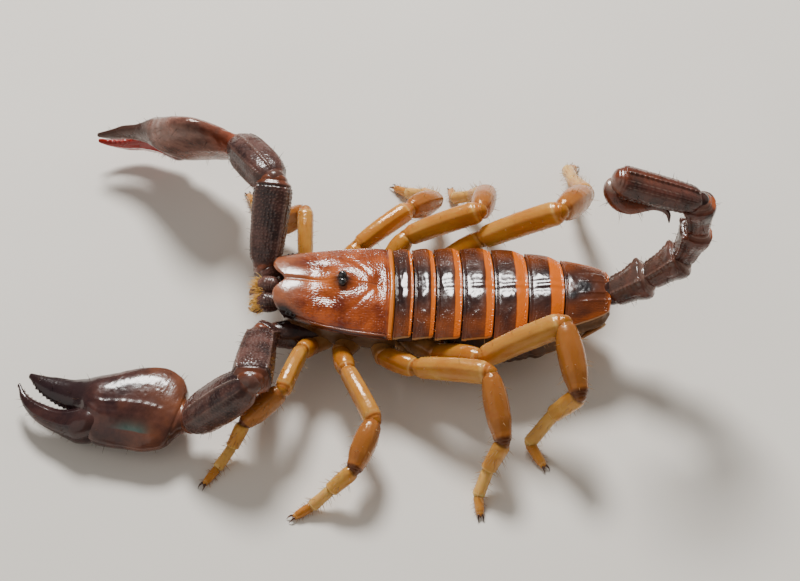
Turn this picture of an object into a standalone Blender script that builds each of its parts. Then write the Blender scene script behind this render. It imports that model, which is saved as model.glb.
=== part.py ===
"""Desert scorpion: a still model at life size, of the burrowing kind with broad claws.

The animal lies along X with its head toward -X and its left side toward -Y, and stands on
the floor at Z = 0.  Its midline is the plane Y = 0.  Sizes are in millimetres, and add_mesh()
turns them into metres.  Every sub-part is a closed solid of its own, a thin gap away from its
neighbours.
"""

import math

import bmesh
import bpy
import numpy as np

MM = 0.001
COLLECTION = "desert_scorpion"

# ---------------------------------------------------------------- driving dimensions (mm)
GAP = 0.12                 # clear space between two neighbouring pieces

# Shield over the head part
CARAPACE_FRONT_X = -12.1
CARAPACE_REAR_X = -0.4
CARAPACE_FRONT_HALF_WIDTH = 3.7
CARAPACE_REAR_HALF_WIDTH = 5.45
CARAPACE_THICKNESS = 0.7
NOTCH_DEPTH = 1.15         # median notch between the two front lobes
NOTCH_WIDTH = 0.26         # as a share of the half width
CORNER_SETBACK = 1.2       # how far the front corners are rounded back
EYE_X = -5.4               # median eyes
EYE_SPREAD = 0.44
EYE_RADIUS = 0.40
TUBERCLE_HEIGHT = 0.5
CHELICERA_SHIFT = 0.6      # the mouth pincers turn with the head
CHELICERA_RISE = 0.4

# Back plates, front to rear
TERGITE_REAR_X = (1.4, 3.5, 6.0, 9.0, 12.2, 15.6, 20.0)
TERGITE_HALF_WIDTH = (5.5, 5.55, 5.6, 5.53, 5.05, 4.2, 2.75)
TERGITE_THICKNESS = 0.5
TERGITE_STEP = 0.28        # how far each plate's rear rim stands above the next plate's front
REAR_CORNER = 0.45         # rounding of a plate's rear corners

# Heights
CROWN_Z = 8.1
EDGE_Z = 6.95
BELLY_Z = 1.6
HEAD_FRONT_DROP = 0.35     # the shield's front edge lies this far below its crown
HEAD_EDGE_DROP = 0.4       # its side edges fall this far toward the front
HEAD_TURN = 1.3            # the head's front lies this far to the animal's right, as it turns
COXA_TOP_Z = 5.6           # the trunk passes over the hind coxae at this height
COXAE_END_X = 3.6
TRUNK_OVER_BELLY = 0.85     # the soft trunk's underside lies this far over the belly plates

# Belly plates
STERNITE_REAR_X = (6.0, 9.2, 12.4, 15.8, 19.6)
STERNITE_FRONT_X = 3.2
STERNITE_THICKNESS = 0.5
STERNITE_SHARE = 0.78       # width of a belly plate, as a share of the back plate above it

# Comb organs under the third body ring
COMB_LENGTH = 5.6
COMB_YAW = 48.0
COMB_TEETH = 7
COMB_Z = 1.1

# Walking legs: segment lengths, shared by the two sides
#           trochanter, femur, patella, tibia, basitarsus, telotarsus
LEG_LENGTHS = {
    1: (2.2, 5.6, 4.8, 2.6, 2.4, 1.9),
    2: (3.0, 6.6, 5.1, 2.9, 2.3, 1.8),
    3: (3.8, 7.7, 6.6, 3.1, 2.6, 1.8),
    4: (5.2, 8.6, 7.0, 4.6, 3.9, 2.6),
}
LEG_ROOTS = {1: (-8.3, 4.1), 2: (-5.6, 4.9), 3: (-1.5, 5.4), 4: (3.4, 5.2)}
LEG_ROOT_Z = {1: 3.9, 2: 3.9, 3: 3.9, 4: 4.1}
LEG_GIRTH = {1: 0.9, 2: 0.99, 3: 1.06, 4: 1.14}
# Stance of each leg: yaw and pitch in degrees of its first five segments, then the yaw of the
# last one, whose pitch follows from the foot reaching the floor
LEG_STANCE = {
    "left_1": ((-120, 35), (-107, 8), (-153, -33), (-132, -50), (-126, -20), -126),
    "left_2": ((-77, 17), (-67, 2), (-112, -16), (-156, -37), (-150, -31), -152),
    "left_3": ((-36, 16), (-21, 19), (-79, -24), (-141, -56), (-116, -35), -84),
    "left_4": ((-30, 25), (8, 27), (-79, -21), (156, -60), (-152, -50), -60),
    "right_1": ((114, 10), (91, 12), (160, -52), (125, -8), (120, -10), 112),
    "right_2": ((58, 24), (40, 6), (50, -28), (124, -30), (143, -30), 136),
    "right_3": ((52, 26), (8, 20), (81, -31), (130, -48), (150, -35), 100),
    "right_4": ((28, 20), (2, 26), (61, -29), (104, -33), (97, -28), 64),
}
SOLE_RADIUS = 0.24         # height of the last segment's axis over the floor at the foot
COXA_RADIUS = 1.12         # of a leg's coxa, times the leg's girth

# Claw arms: lengths, and the stance of each as yaw and pitch in degrees
PALP_ROOT = (-12.1, 3.2, 4.4)
PALP_COXA_INNER = (-8.6, 1.9, 4.0)
PALP_COXA_RADIUS = 1.15
PALP_LENGTHS = (1.9, 8.3, 8.1, 16.2)     # trochanter, femur, patella, whole hand
PALP_STANCE = {
    "left": ((-130, 42), (-94, 20), (-176, -42), (161, -2)),
    "right": ((130, 42), (82, 38), (120, -14.5), (159, -18)),
}
HAND_TILT = {"left": 9.0, "right": 65.0}    # the plane of the fingers leans this far up from level
HAND_HALF_WIDTH = 4.4
HAND_HALF_THICKNESS = 1.95
MANUS_SHARE = 0.57         # where the fingers part, along the hand

# Tail: lengths and the pitch of each segment in the midplane, then half width and height
TAIL_ROOT = (20.1, 6.8)
TAIL_LENGTHS = (3.9, 4.15, 4.05, 3.75, 8.15)
TAIL_PITCH = (35.5, 44.3, 75.3, 93, 159)
TAIL_HALF_WIDTH = (1.75, 1.6, 1.5, 1.45, 1.4)
TAIL_HALF_HEIGHT = (1.5, 1.45, 1.4, 1.28, 1.2)
# Sting: its path in the midplane from the tail's last joint, then its half height along it
STING_FOLD = (-0.3, -0.95)
STING_PATH = ((-0.3, -0.35), (-0.4, -1.1), (-0.15, -1.85), (0.5, -2.68), (1.4, -3.1), (2.3, -3.12),
              (3.1, -3.12), (4.3, -3.75), (4.95, -4.7), (5.1, -5.8))
STING_RADIUS = (0.7, 0.88, 0.98, 1.0, 0.9, 0.68, 0.46, 0.31, 0.27, 0.25)
STING_BREADTH = 1.22       # half width over half height
STING_BASE_RINGS = 3       # the rings that keep to their side of the last joint


# ---------------------------------------------------------------- small helpers
def unit(vector):
    """Return the vector at length one."""
    vector = np.asarray(vector, float)
    return vector / np.linalg.norm(vector)


def heading(yaw, pitch):
    """Return the direction with a yaw about Z from +X and a pitch above level, in degrees."""
    yaw, pitch = math.radians(yaw), math.radians(pitch)
    return np.array((math.cos(pitch) * math.cos(yaw), math.cos(pitch) * math.sin(yaw), math.sin(pitch)))


def bump(value, width):
    """Return a smooth hump: one at zero, fading over the width."""
    return np.exp(-(np.asarray(value, float) / width) ** 2)


def side_sign(side):
    """Return -1 for the left side and +1 for the right."""
    return -1.0 if side == "left" else 1.0


# ---------------------------------------------------------------- materials and meshes
def make_material(name, color, roughness, metallic=0.0):
    """Return a Principled material with these values."""
    material = bpy.data.materials.new(name)
    material.use_nodes = True
    shader = material.node_tree.nodes["Principled BSDF"]
    shader.inputs["Base Color"].default_value = (*color, 1.0)
    shader.inputs["Roughness"].default_value = roughness
    shader.inputs["Metallic"].default_value = metallic
    material.diffuse_color = (*color, 1.0)
    return material


def make_materials():
    """Return the materials of the shell's different regions."""
    return {
        "carapace": make_material("carapace_shell", (0.36, 0.09, 0.03), 0.22),
        "tergite": make_material("tergite_shell", (0.10, 0.035, 0.02), 0.18),
        "belly": make_material("belly_shell", (0.33, 0.16, 0.06), 0.35),
        "pleura": make_material("pleura_skin", (0.09, 0.07, 0.06), 0.5),
        "leg": make_material("leg_shell", (0.48, 0.22, 0.05), 0.3),
        "palp": make_material("palp_shell", (0.05, 0.025, 0.02), 0.35),
        "hand": make_material("hand_shell", (0.07, 0.012, 0.01), 0.22),
        "tail": make_material("tail_shell", (0.055, 0.02, 0.015), 0.35),
        "sting": make_material("sting_shell", (0.22, 0.05, 0.02), 0.25),
        "eye": make_material("eye_lens", (0.01, 0.01, 0.012), 0.08),
    }


def add_mesh(name, vertices, faces, material, collection):
    """Add an object from vertices in millimetres and faces, with its normals turned outward."""
    mesh = bpy.data.meshes.new(name)
    mesh.from_pydata([tuple(v) for v in np.asarray(vertices, float) * MM], [], faces)
    work = bmesh.new()
    work.from_mesh(mesh)
    bmesh.ops.recalc_face_normals(work, faces=work.faces)
    work.to_mesh(mesh)
    work.free()
    mesh.materials.append(material)
    mesh.shade_smooth()
    mesh.set_sharp_from_angle(angle=math.radians(40))
    thing = bpy.data.objects.new(name, mesh)
    collection.objects.link(thing)
    return thing


def loft(rings):
    """Return vertices and faces of a closed loft through rings of equal count.

    A flat face closes each end, and a ring of one repeated point closes it to a tip.
    """
    rings = [np.asarray(ring, float) for ring in rings]
    count = len(rings[0])
    vertices, rows = [], []
    for ring in rings:
        if np.ptp(ring, axis=0).max() < 1e-6:
            rows.append([len(vertices)] * count)
            vertices.append(ring[0])
        else:
            rows.append(list(range(len(vertices), len(vertices) + count)))
            vertices.extend(ring)
    faces = []
    for lower, upper in zip(rows[:-1], rows[1:]):
        for k in range(count):
            corners = (lower[k], lower[(k + 1) % count], upper[(k + 1) % count], upper[k])
            faces.append(list(dict.fromkeys(corners)))
    for row in (rows[0], rows[-1]):
        if row[0] != row[1]:
            faces.append(list(row))
    return vertices, faces


def section(centre, side, top, half_width, half_height, count=10, squareness=0.85, turn=0.0):
    """Return a ring: a rounded oval across a limb, as points round its centre."""
    angle = np.arange(count) * 2 * math.pi / count + math.radians(turn)
    across = np.sign(np.cos(angle)) * np.abs(np.cos(angle)) ** squareness * half_width
    along = np.sign(np.sin(angle)) * np.abs(np.sin(angle)) ** squareness * half_height
    return np.asarray(centre) + np.outer(across, side) + np.outer(along, top)


def add_loft(name, rings, material, collection):
    """Add an object that is one closed loft."""
    vertices, faces = loft(rings)
    return add_mesh(name, vertices, faces, material, collection)


def add_shell(name, grid, thickness, material, collection):
    """Add a plate: an open grid of points, thickened inward by a Solidify modifier."""
    rows, columns = grid.shape[:2]
    faces = []
    for i in range(rows - 1):
        for j in range(columns - 1):
            here = i * columns + j
            faces.append((here, here + columns, here + columns + 1, here + 1))
    mesh = bpy.data.meshes.new(name)
    mesh.from_pydata([tuple(v) for v in grid.reshape(-1, 3) * MM], [], faces)
    mesh.materials.append(material)
    mesh.shade_smooth()
    plate = bpy.data.objects.new(name, mesh)
    collection.objects.link(plate)
    solidify = plate.modifiers.new("thickness", "SOLIDIFY")
    solidify.thickness = thickness * MM
    solidify.offset = -1.0
    return plate


def boolean(target, other, operation):
    """Add an exact Boolean to the target and keep the other object as a hidden guide."""
    modifier = target.modifiers.new("boolean_" + other.name, "BOOLEAN")
    modifier.operation = operation
    modifier.object = other
    modifier.solver = "EXACT"
    other.hide_render = True
    other.display_type = "WIRE"


# ---------------------------------------------------------------- limbs
def joint_chain(start, directions, lengths):
    """Return the joints of a limb, from its root out."""
    joints = [np.asarray(start, float)]
    for direction, length in zip(directions, lengths):
        joints.append(joints[-1] + direction * length)
    return joints


def side_of(direction, hint=(0.0, 0.0, 1.0)):
    """Return the level sideways direction of a limb segment."""
    return unit(np.cross(direction, hint))


def mitre_clamp(ring, point, normal, direction, margin):
    """Slide a ring's points back along the segment so that none passes the joint's plane."""
    room = (np.asarray(point) - ring) @ normal / (direction @ normal) - margin
    return ring + np.outer(np.minimum(room, 0.0), direction)


def segment_rings(start, end, before, after, profile, count, hint, squareness=0.85, turn=0.0):
    """Return the rings of one limb segment between two joints.

    Args:
        start, end: the two joints.
        before, after: directions of the neighbouring segments, or None at a free end.
        profile: tuples of share of the length, half width and half height.
        hint: the direction that counts as the top of the limb.
    """
    direction = unit(end - start)
    side = side_of(direction, hint)
    top = np.cross(side, direction)
    rings = []
    for share, half_width, half_height in profile:
        centre = start + (end - start) * share
        ring = section(centre, side, top, half_width, half_height, count, squareness, turn)
        spread = (share - 0.5) * 0.3
        if before is not None:
            plane = -unit(before + direction)
            ring = mitre_clamp(ring, start, plane, -direction, GAP / 2 + max(spread + 0.15, 0.0))
        if after is not None:
            plane = unit(after + direction)
            ring = mitre_clamp(ring, end, plane, direction, GAP / 2 + max(0.15 - spread, 0.0))
        rings.append(ring)
    return rings


# ---------------------------------------------------------------- trunk
def half_width_at(x):
    """Return the half width of the back plates at X."""
    stations = (CARAPACE_REAR_X, *TERGITE_REAR_X)
    widths = (CARAPACE_REAR_HALF_WIDTH, *TERGITE_HALF_WIDTH)
    return np.interp(x, stations, widths)


def crown_at(x):
    """Return the height of the back's midline at X."""
    x = np.asarray(x, float)
    front = HEAD_FRONT_DROP * np.clip((-6.0 - x) / 6.0, 0.0, 1.5) ** 1.8
    rear = 0.55 * np.clip((x - 14.0) / 6.0, 0.0, 1.0) ** 1.5
    return CROWN_Z - front - rear


def edge_at(x):
    """Return the height of the plates' side edges at X."""
    front = HEAD_EDGE_DROP * np.clip((-2.0 - np.asarray(x, float)) / 10.0, 0.0, 1.0) ** 1.2
    return EDGE_Z - front


def head_shift(x):
    """Return how far the turned head lies off the midplane at X, to the animal's right."""
    return HEAD_TURN * np.clip(np.asarray(x, float) / CARAPACE_FRONT_X, 0.0, 1.2) ** 1.5


def back_height(x, share):
    """Return the back's height at X, at a share of the half width from the midline."""
    return crown_at(x) - (crown_at(x) - edge_at(x)) * np.abs(share) ** 2.3


def carapace_grid(rows=9, columns=15):
    """Return the shield's upper surface: front to rear, left to right."""
    across = np.linspace(-1.0, 1.0, columns)
    front = CARAPACE_FRONT_X + NOTCH_DEPTH * bump(across, NOTCH_WIDTH)
    front = front + CORNER_SETBACK * np.abs(across) ** 5
    rear = CARAPACE_REAR_X - GAP / 2 - 0.3 * across ** 2
    points = np.empty((rows, columns, 3))
    for i, share in enumerate(np.linspace(0.0, 1.0, rows)):
        x = front + (rear - front) * share
        growth = CARAPACE_REAR_HALF_WIDTH - CARAPACE_FRONT_HALF_WIDTH
        half_width = CARAPACE_FRONT_HALF_WIDTH + growth * math.sin(share * math.pi / 2) ** 0.9
        y = half_width * across
        z = back_height(x, across)
        z = z + TUBERCLE_HEIGHT * bump(x - EYE_X, 1.0) * bump(y, 0.65)
        z = z - 0.3 * bump(across, 0.1) * np.clip((EYE_X - 1.2 - x) / 3.0, 0.0, 1.0)
        points[i] = np.stack((x, y + head_shift(x), z), axis=1)
    return points


def add_carapace(materials, collection, guides):
    """Add the shield, hollowed where the two median eyes sit."""
    shield = add_shell("carapace", carapace_grid(), CARAPACE_THICKNESS, materials["carapace"], collection)
    for side in ("left", "right"):
        centre = eye_centre(side)
        bpy.ops.mesh.primitive_uv_sphere_add(segments=10, ring_count=6, radius=(EYE_RADIUS + 0.05) * MM,
                                             location=centre * MM)
        socket = bpy.context.object
        socket.name = f"guide_socket_{side}"
        move_to(socket, guides)
        boolean(shield, socket, "DIFFERENCE")


def eye_centre(side):
    """Return the centre of a median eye, on its side of the tubercle."""
    height = crown_at(EYE_X) + TUBERCLE_HEIGHT - 0.16
    return np.array((EYE_X, side_sign(side) * EYE_SPREAD + head_shift(EYE_X), height))


def add_eyes(materials, collection):
    """Add the two median eyes."""
    for side in ("left", "right"):
        bpy.ops.mesh.primitive_uv_sphere_add(segments=10, ring_count=6, radius=EYE_RADIUS * MM,
                                             location=eye_centre(side) * MM)
        eye = bpy.context.object
        eye.name = f"eye_{side}"
        eye.data.materials.append(materials["eye"])
        eye.data.shade_smooth()
        move_to(eye, collection)


def move_to(thing, collection):
    """Keep an object in this collection alone."""
    for other in list(thing.users_collection):
        other.objects.unlink(thing)
    collection.objects.link(thing)


def tergite_grid(index, rows=4, columns=11):
    """Return a back plate's upper surface, its front tucked lower than its rear rim."""
    stations = (CARAPACE_REAR_X, *TERGITE_REAR_X)
    front, rear = stations[index] + GAP / 2, stations[index + 1] - GAP / 2
    across = np.linspace(-1.0, 1.0, columns)
    points = np.empty((rows, columns, 3))
    for i, share in enumerate(np.linspace(0.0, 1.0, rows)):
        bow = 0.3 * across ** 2
        x = front + (rear - front) * share - bow
        half_width = half_width_at(front + (rear - front) * share)
        corner = REAR_CORNER * share ** 6
        y = (half_width - corner) * across
        drop = TERGITE_STEP * (1.0 - share) ** 2
        z = back_height(front + (rear - front) * share, across) - drop
        points[i] = np.stack((x, y, z), axis=1)
    return points


def add_tergites(materials, collection):
    """Add the seven back plates."""
    for index in range(len(TERGITE_REAR_X)):
        add_shell(f"tergite_{index + 1}", tergite_grid(index), TERGITE_THICKNESS, materials["tergite"], collection)


def trunk_ring(x, waist, top_clearance, bottom):
    """Return a ring of the soft trunk: under the plates on top, bulging at the sides, flat below."""
    half_width = half_width_at(x) * 0.96
    across = np.linspace(-1.0, 1.0, 9)
    top = [(half_width * t, back_height(x, t) - top_clearance) for t in across]
    edge = top[-1][1]
    mid = (edge + bottom) / 2
    sides = [(waist, mid + (edge - mid) * 0.35), (waist * 0.99, mid - (mid - bottom) * 0.35),
             (waist * 0.82, bottom + 0.3)]
    floor = [(waist * 0.62, bottom), (0.0, bottom), (-waist * 0.62, bottom)]
    left = [(-y, z) for y, z in reversed(sides)]
    return np.array([(x, y, z) for y, z in (*top, *sides, *floor, *left)])


def add_abdomen(materials, collection):
    """Add the soft trunk between back plates and belly plates, waisted beside the hind coxae."""
    last = TERGITE_REAR_X[-1]
    rings = []
    for x in np.linspace(CARAPACE_REAR_X + 0.15, last - 0.1, 12):
        full = half_width_at(x) * 1.02
        over_coxae = 1.0 - np.clip((x - COXAE_END_X) / 2.0, 0.0, 1.0)
        beside_legs = np.clip((COXAE_END_X + 3.4 - x) / 3.4, 0.0, 1.0) * np.clip((x - 1.0) / 2.0, 0.0, 1.0)
        waist = full - 1.7 * beside_legs - 0.3 * over_coxae
        bottom = belly_at(x) + TRUNK_OVER_BELLY + (COXA_TOP_Z - BELLY_Z - TRUNK_OVER_BELLY) * over_coxae
        rings.append(trunk_ring(x, waist, TERGITE_THICKNESS + TERGITE_STEP + 0.15, bottom))
    add_loft("abdomen", rings, materials["pleura"], collection)


def belly_at(x):
    """Return the height of the belly's underside at X."""
    return BELLY_Z + 3.1 * np.clip((np.asarray(x, float) - 13.0) / 7.0, 0.0, 1.0) ** 1.6


def add_sternites(materials, collection):
    """Add the five belly plates, thin and gently curved up at their sides."""
    front = STERNITE_FRONT_X
    for index, rear in enumerate(STERNITE_REAR_X):
        across = np.linspace(-1.0, 1.0, 9)
        grid = np.empty((4, 9, 3))
        for i, x in enumerate(np.linspace(front + GAP, rear - GAP, 4)):
            full = half_width_at(x) * STERNITE_SHARE
            half_width = full - (full - 2.4) * (1.0 - np.clip((x - 2.0) / 4.0, 0.0, 1.0))
            y = -half_width * across
            z = belly_at(x) - 0.12 + 0.4 * np.abs(across) ** 4
            grid[i] = np.stack((np.full(9, x), y, z), axis=1)
        add_shell(f"sternite_{index + 3}", grid, STERNITE_THICKNESS, materials["belly"], collection)
        front = rear


def add_prosoma(materials, collection, guides):
    """Add the underside of the head part: a core with the coxae of claws and legs joined on."""
    rings = []
    for x in np.linspace(-11.0, CARAPACE_REAR_X - 0.15, 7):
        share = (x - CARAPACE_FRONT_X) / (CARAPACE_REAR_X - CARAPACE_FRONT_X)
        half_width = 2.9 + 1.4 * share
        across = np.linspace(-1.0, 1.0, 7)
        shield_width = CARAPACE_FRONT_HALF_WIDTH + 1.7 * share
        top = [(half_width * t, back_height(x, half_width * t / shield_width) - 1.3) for t in across]
        low = [(half_width, 4.2), (half_width * 0.8, 2.7), (0.0, 2.3), (-half_width * 0.8, 2.7), (-half_width, 4.2)]
        rings.append(np.array([(x, y + 0.5 * head_shift(x), z) for y, z in (*top, *low)]))
    core = add_loft("prosoma_base", rings, materials["belly"], collection)
    for side in ("left", "right"):
        sign = side_sign(side)
        for number, (x, y) in LEG_ROOTS.items():
            inner = coxa_inner(side, number)
            outer = np.array((x, sign * y, LEG_ROOT_Z[number]))
            first = heading(*LEG_STANCE[f"{side}_{number}"][0])
            radius = COXA_RADIUS * LEG_GIRTH[number]
            add_coxa(core, f"guide_coxa_{side}_{number}", inner, outer, first, radius, guides)
        root = np.array(PALP_ROOT) * (1.0, sign, 1.0)
        first = heading(*PALP_STANCE[side][0])
        inner = np.array(PALP_COXA_INNER) * (1.0, sign, 1.0)
        add_coxa(core, f"guide_coxa_{side}_palp", inner, root, first, PALP_COXA_RADIUS, guides)


def coxa_inner(side, number):
    """Return the inner end of a leg's coxa, near the midline: each pair lies further back."""
    return np.array((-7.6 + 1.9 * number, side_sign(side) * 1.3, 2.9))


def add_coxa(core, name, inner, outer, after, radius, guides):
    """Join one coxa, a tapered stub from the midline out to the limb's root, to the core."""
    profile = ((0.0, radius * 0.75, radius * 0.8), (0.6, radius, radius), (1.0, radius * 0.8, radius * 0.85))
    rings = segment_rings(inner, outer, None, after, profile, 8, (0.0, 0.0, 1.0))
    vertices, faces = loft(rings)
    coxa = add_mesh(name, vertices, faces, core.data.materials[0], guides)
    boolean(core, coxa, "UNION")


def add_chelicerae(materials, collection):
    """Add the two short mouth pincers, side by side in front of the shield."""
    for side in ("left", "right"):
        sign = side_sign(side)
        stations = (
            (-11.2, 0.95, 5.4, 0.5, 0.45), (-11.75, 1.0, 5.45, 0.8, 0.75), (-12.5, 1.05, 5.5, 0.92, 0.9),
            (-13.3, 1.0, 5.35, 0.85, 0.8), (-13.9, 0.85, 5.05, 0.55, 0.5), (-14.4, 0.65, 4.7, 0.28, 0.28),
        )
        rings = []
        for x, y, z, half_width, half_height in stations:
            centre = (x, sign * y + CHELICERA_SHIFT, z + CHELICERA_RISE)
            rings.append(section(centre, (0, 1, 0), (0, 0, 1), half_width, half_height, 10))
        add_loft(f"chelicera_{side}", rings, materials["palp"], collection)


def add_pectines(materials, collection, guides):
    """Add the comb organs: two toothed arms on one small plate under the body."""
    bpy.ops.mesh.primitive_cube_add(size=1.0, location=(-1.0 * MM, 0.0, COMB_Z * MM))
    plate = bpy.context.object
    plate.name = "pectines"
    plate.scale = (1.8 * MM, 2.4 * MM, 0.5 * MM)
    plate.data.materials.append(materials["belly"])
    move_to(plate, collection)
    for side in ("left", "right"):
        sign = side_sign(side)
        direction = heading(sign * COMB_YAW, 0.0)
        rearward = unit(np.cross(direction, (0, 0, sign)))
        root = np.array((-1.0, sign * 0.6, COMB_Z))
        profile = ((0.0, 0.5, 0.25), (0.7, 0.42, 0.25), (1.0, 0.28, 0.22))
        rings = segment_rings(root, root + direction * COMB_LENGTH, None, None, profile, 6, (0, 0, 1))
        vertices, faces = loft(rings)
        arm = add_mesh(f"guide_comb_{side}", vertices, faces, materials["belly"], guides)
        boolean(plate, arm, "UNION")
        for k in range(COMB_TEETH):
            share = 0.16 + 0.8 * k / (COMB_TEETH - 1)
            base = root + direction * COMB_LENGTH * share
            profile = ((0.0, 0.24, 0.2), (1.0, 0.16, 0.14))
            rings = segment_rings(base, base + rearward * 1.15, None, None, profile, 5, (0, 0, 1))
            vertices, faces = loft(rings)
            tooth = add_mesh(f"guide_comb_{side}_{k}", vertices, faces, materials["belly"], guides)
            boolean(plate, tooth, "UNION")


# ---------------------------------------------------------------- walking legs
def leg_joints(side, number):
    """Return a leg's seven joints, the last one a sole's height over the floor."""
    stance = LEG_STANCE[f"{side}_{number}"]
    lengths = LEG_LENGTHS[number]
    x, y = LEG_ROOTS[number]
    start = (x, side_sign(side) * y, LEG_ROOT_Z[number])
    joints = joint_chain(start, [heading(*angles) for angles in stance[:5]], lengths[:5])
    drop = min((joints[-1][2] - SOLE_RADIUS) / lengths[5], 0.98)
    joints.append(joints[-1] + heading(stance[5], -math.degrees(math.asin(drop))) * lengths[5])
    return joints


def add_leg(side, number, materials, collection):
    """Add one leg as three pieces: trochanter with femur, patella, and the foot beyond it."""
    joints = leg_joints(side, number)
    steps = [unit(b - a) for a, b in zip(joints[:-1], joints[1:])]
    girth = LEG_GIRTH[number]
    name = f"leg_{side}_{number}"
    hint = (0.0, 0.0, 1.0)
    coxa = unit(joints[0] - coxa_inner(side, number))

    trochanter = ((0.0, 0.8, 0.85), (0.35, 0.95, 1.0), (0.8, 0.92, 0.98))
    rings = segment_rings(joints[0], joints[1], coxa, steps[1], scaled(trochanter, girth), 8, hint, turn=22.5)
    femur = ((0.06, 0.78, 0.86), (0.4, 0.86, 1.05), (0.9, 0.85, 1.03), (1.0, 0.62, 0.74))
    rings += segment_rings(joints[1], joints[2], None, steps[2], scaled(femur, girth), 8, hint, turn=22.5)
    add_loft(f"{name}_femur", rings, materials["leg"], collection)

    patella = ((0.0, 0.6, 0.7), (0.1, 0.86, 0.95), (0.35, 1.08, 1.22), (0.65, 1.05, 1.18),
               (0.92, 0.8, 0.88), (1.0, 0.6, 0.66))
    rings = segment_rings(joints[2], joints[3], steps[1], steps[3], scaled(patella, girth), 8, hint, turn=22.5)
    add_loft(f"{name}_patella", rings, materials["leg"], collection)

    rings = foot_rings(joints[3:], steps[2], girth)
    add_loft(f"{name}_foot", rings, materials["leg"], collection)


def scaled(profile, factor):
    """Return a profile with its half sizes multiplied by a factor."""
    return tuple((share, width * factor, height * factor) for share, width, height in profile)


def foot_rings(joints, before, girth):
    """Return the rings of tibia, basitarsus and telotarsus, flat where the sole meets the floor."""
    segments = (
        ((0.0, 0.52, 0.58), (0.14, 0.7, 0.78), (0.55, 0.68, 0.78), (0.86, 0.64, 0.7)),
        ((0.06, 0.5, 0.54), (0.84, 0.54, 0.6)),
        ((0.08, 0.42, 0.46), (0.8, 0.37, 0.43), (1.0, 0.26, 0.3)),
    )
    rings = []
    for index, profile in enumerate(segments):
        start, end = joints[index], joints[index + 1]
        first = before if index == 0 else None
        rings += segment_rings(start, end, first, None, scaled(profile, girth), 8, (0.0, 0.0, 1.0), turn=22.5)
    for ring in rings:
        ring[:, 2] = np.maximum(ring[:, 2], 0.0)
    return rings


# ---------------------------------------------------------------- claw arms
def palp_joints(side):
    """Return the joints of a claw arm: root, femur base, elbow, wrist, finger tip."""
    start = np.array(PALP_ROOT) * (1.0, side_sign(side), 1.0)
    return joint_chain(start, [heading(*angles) for angles in PALP_STANCE[side]], PALP_LENGTHS)


def hand_frame(side):
    """Return the hand's axis, its width direction toward the fixed finger, and its normal."""
    axis = heading(*PALP_STANCE[side][3])
    level = unit(np.cross((0, 0, 1), axis)) * side_sign(side)
    up = unit(np.cross(axis, level)) * side_sign(side)
    tilt = math.radians(HAND_TILT[side])
    width = unit(level * math.cos(tilt) + up * math.sin(tilt))
    return axis, width, np.cross(axis, width)


def hand_rings(side, stations, count=12):
    """Return rings across the hand from stations of share, offset, half width and half thickness."""
    axis, width, normal = hand_frame(side)
    wrist = palp_joints(side)[3]
    length = PALP_LENGTHS[3]
    rings = []
    for share, offset, half_width, half_thickness in stations:
        centre = wrist + axis * share * length + width * offset
        rings.append(section(centre, width, normal, half_width, half_thickness, count, 0.9))
    return rings


def add_palp(side, materials, collection):
    """Add a claw arm: trochanter, femur, patella, hand with its fixed finger, and movable finger."""
    joints = palp_joints(side)
    steps = [unit(b - a) for a, b in zip(joints[:-1], joints[1:])]
    hint = (0.0, 0.0, 1.0)
    coxa = unit(joints[0] - np.array(PALP_COXA_INNER) * (1.0, side_sign(side), 1.0))
    name = f"palp_{side}"

    profile = ((0.0, 0.9, 0.9), (0.5, 1.3, 1.2), (1.0, 1.2, 1.1))
    rings = segment_rings(joints[0], joints[1], coxa, steps[1], profile, 12, hint, 0.75)
    add_loft(f"{name}_trochanter", rings, materials["palp"], collection)

    profile = ((0.0, 1.15, 1.0), (0.12, 1.5, 1.25), (0.5, 1.75, 1.45), (0.85, 1.85, 1.55), (1.0, 1.35, 1.2))
    rings = segment_rings(joints[1], joints[2], steps[0], steps[2], profile, 12, hint, 0.68)
    add_loft(f"{name}_femur", rings, materials["palp"], collection)

    profile = ((0.0, 1.15, 1.05), (0.14, 1.75, 1.45), (0.4, 1.95, 1.65), (0.7, 1.9, 1.6),
               (0.92, 1.5, 1.3), (1.0, 1.1, 1.0))
    rings = segment_rings(joints[2], joints[3], steps[1], steps[3], profile, 12, hint, 0.7)
    add_loft(f"{name}_patella", rings, materials["palp"], collection)

    broad, thick = HAND_HALF_WIDTH, HAND_HALF_THICKNESS
    manus = (
        (0.015, 0.0, 1.05, 1.05), (0.07, 0.1, broad * 0.66, thick * 0.72), (0.14, 0.3, broad * 0.9, thick * 0.92),
        (0.23, 0.3, broad, thick), (0.34, 0.0, broad * 0.98, thick), (0.44, -0.45, broad * 0.92, thick * 0.92),
        (MANUS_SHARE - 0.05, -0.8, broad * 0.85, thick * 0.8),
    )
    fixed = (
        (MANUS_SHARE - 0.01, 0.3, 1.9, thick * 0.72), (0.63, 0.05, 1.6, 1.1), (0.74, -0.2, 1.3, 0.75),
        (0.85, 0.0, 1.0, 0.58), (0.93, 0.42, 0.66, 0.45), (1.0, 0.93, 0.28, 0.26),
    )
    rings = hand_rings(side, manus + fixed)
    plane = -unit(steps[2] + steps[3])
    rings = [mitre_clamp(ring, joints[3], plane, -steps[3], GAP) for ring in rings]
    add_loft(f"{name}_hand", rings, materials["hand"], collection)

    movable = (
        (MANUS_SHARE + 0.005, -3.2, 1.25, 1.2), (MANUS_SHARE + 0.03, -3.25, 1.42, 1.3), (0.66, -3.25, 1.25, 1.1),
        (0.75, -3.2, 1.03, 0.85), (0.85, -2.87, 0.9, 0.7), (0.94, -2.2, 0.65, 0.5), (1.0, -1.32, 0.46, 0.38),
        (1.04, -0.39, 0.27, 0.26),
    )
    add_loft(f"{name}_finger", hand_rings(side, movable, 10), materials["hand"], collection)


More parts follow.
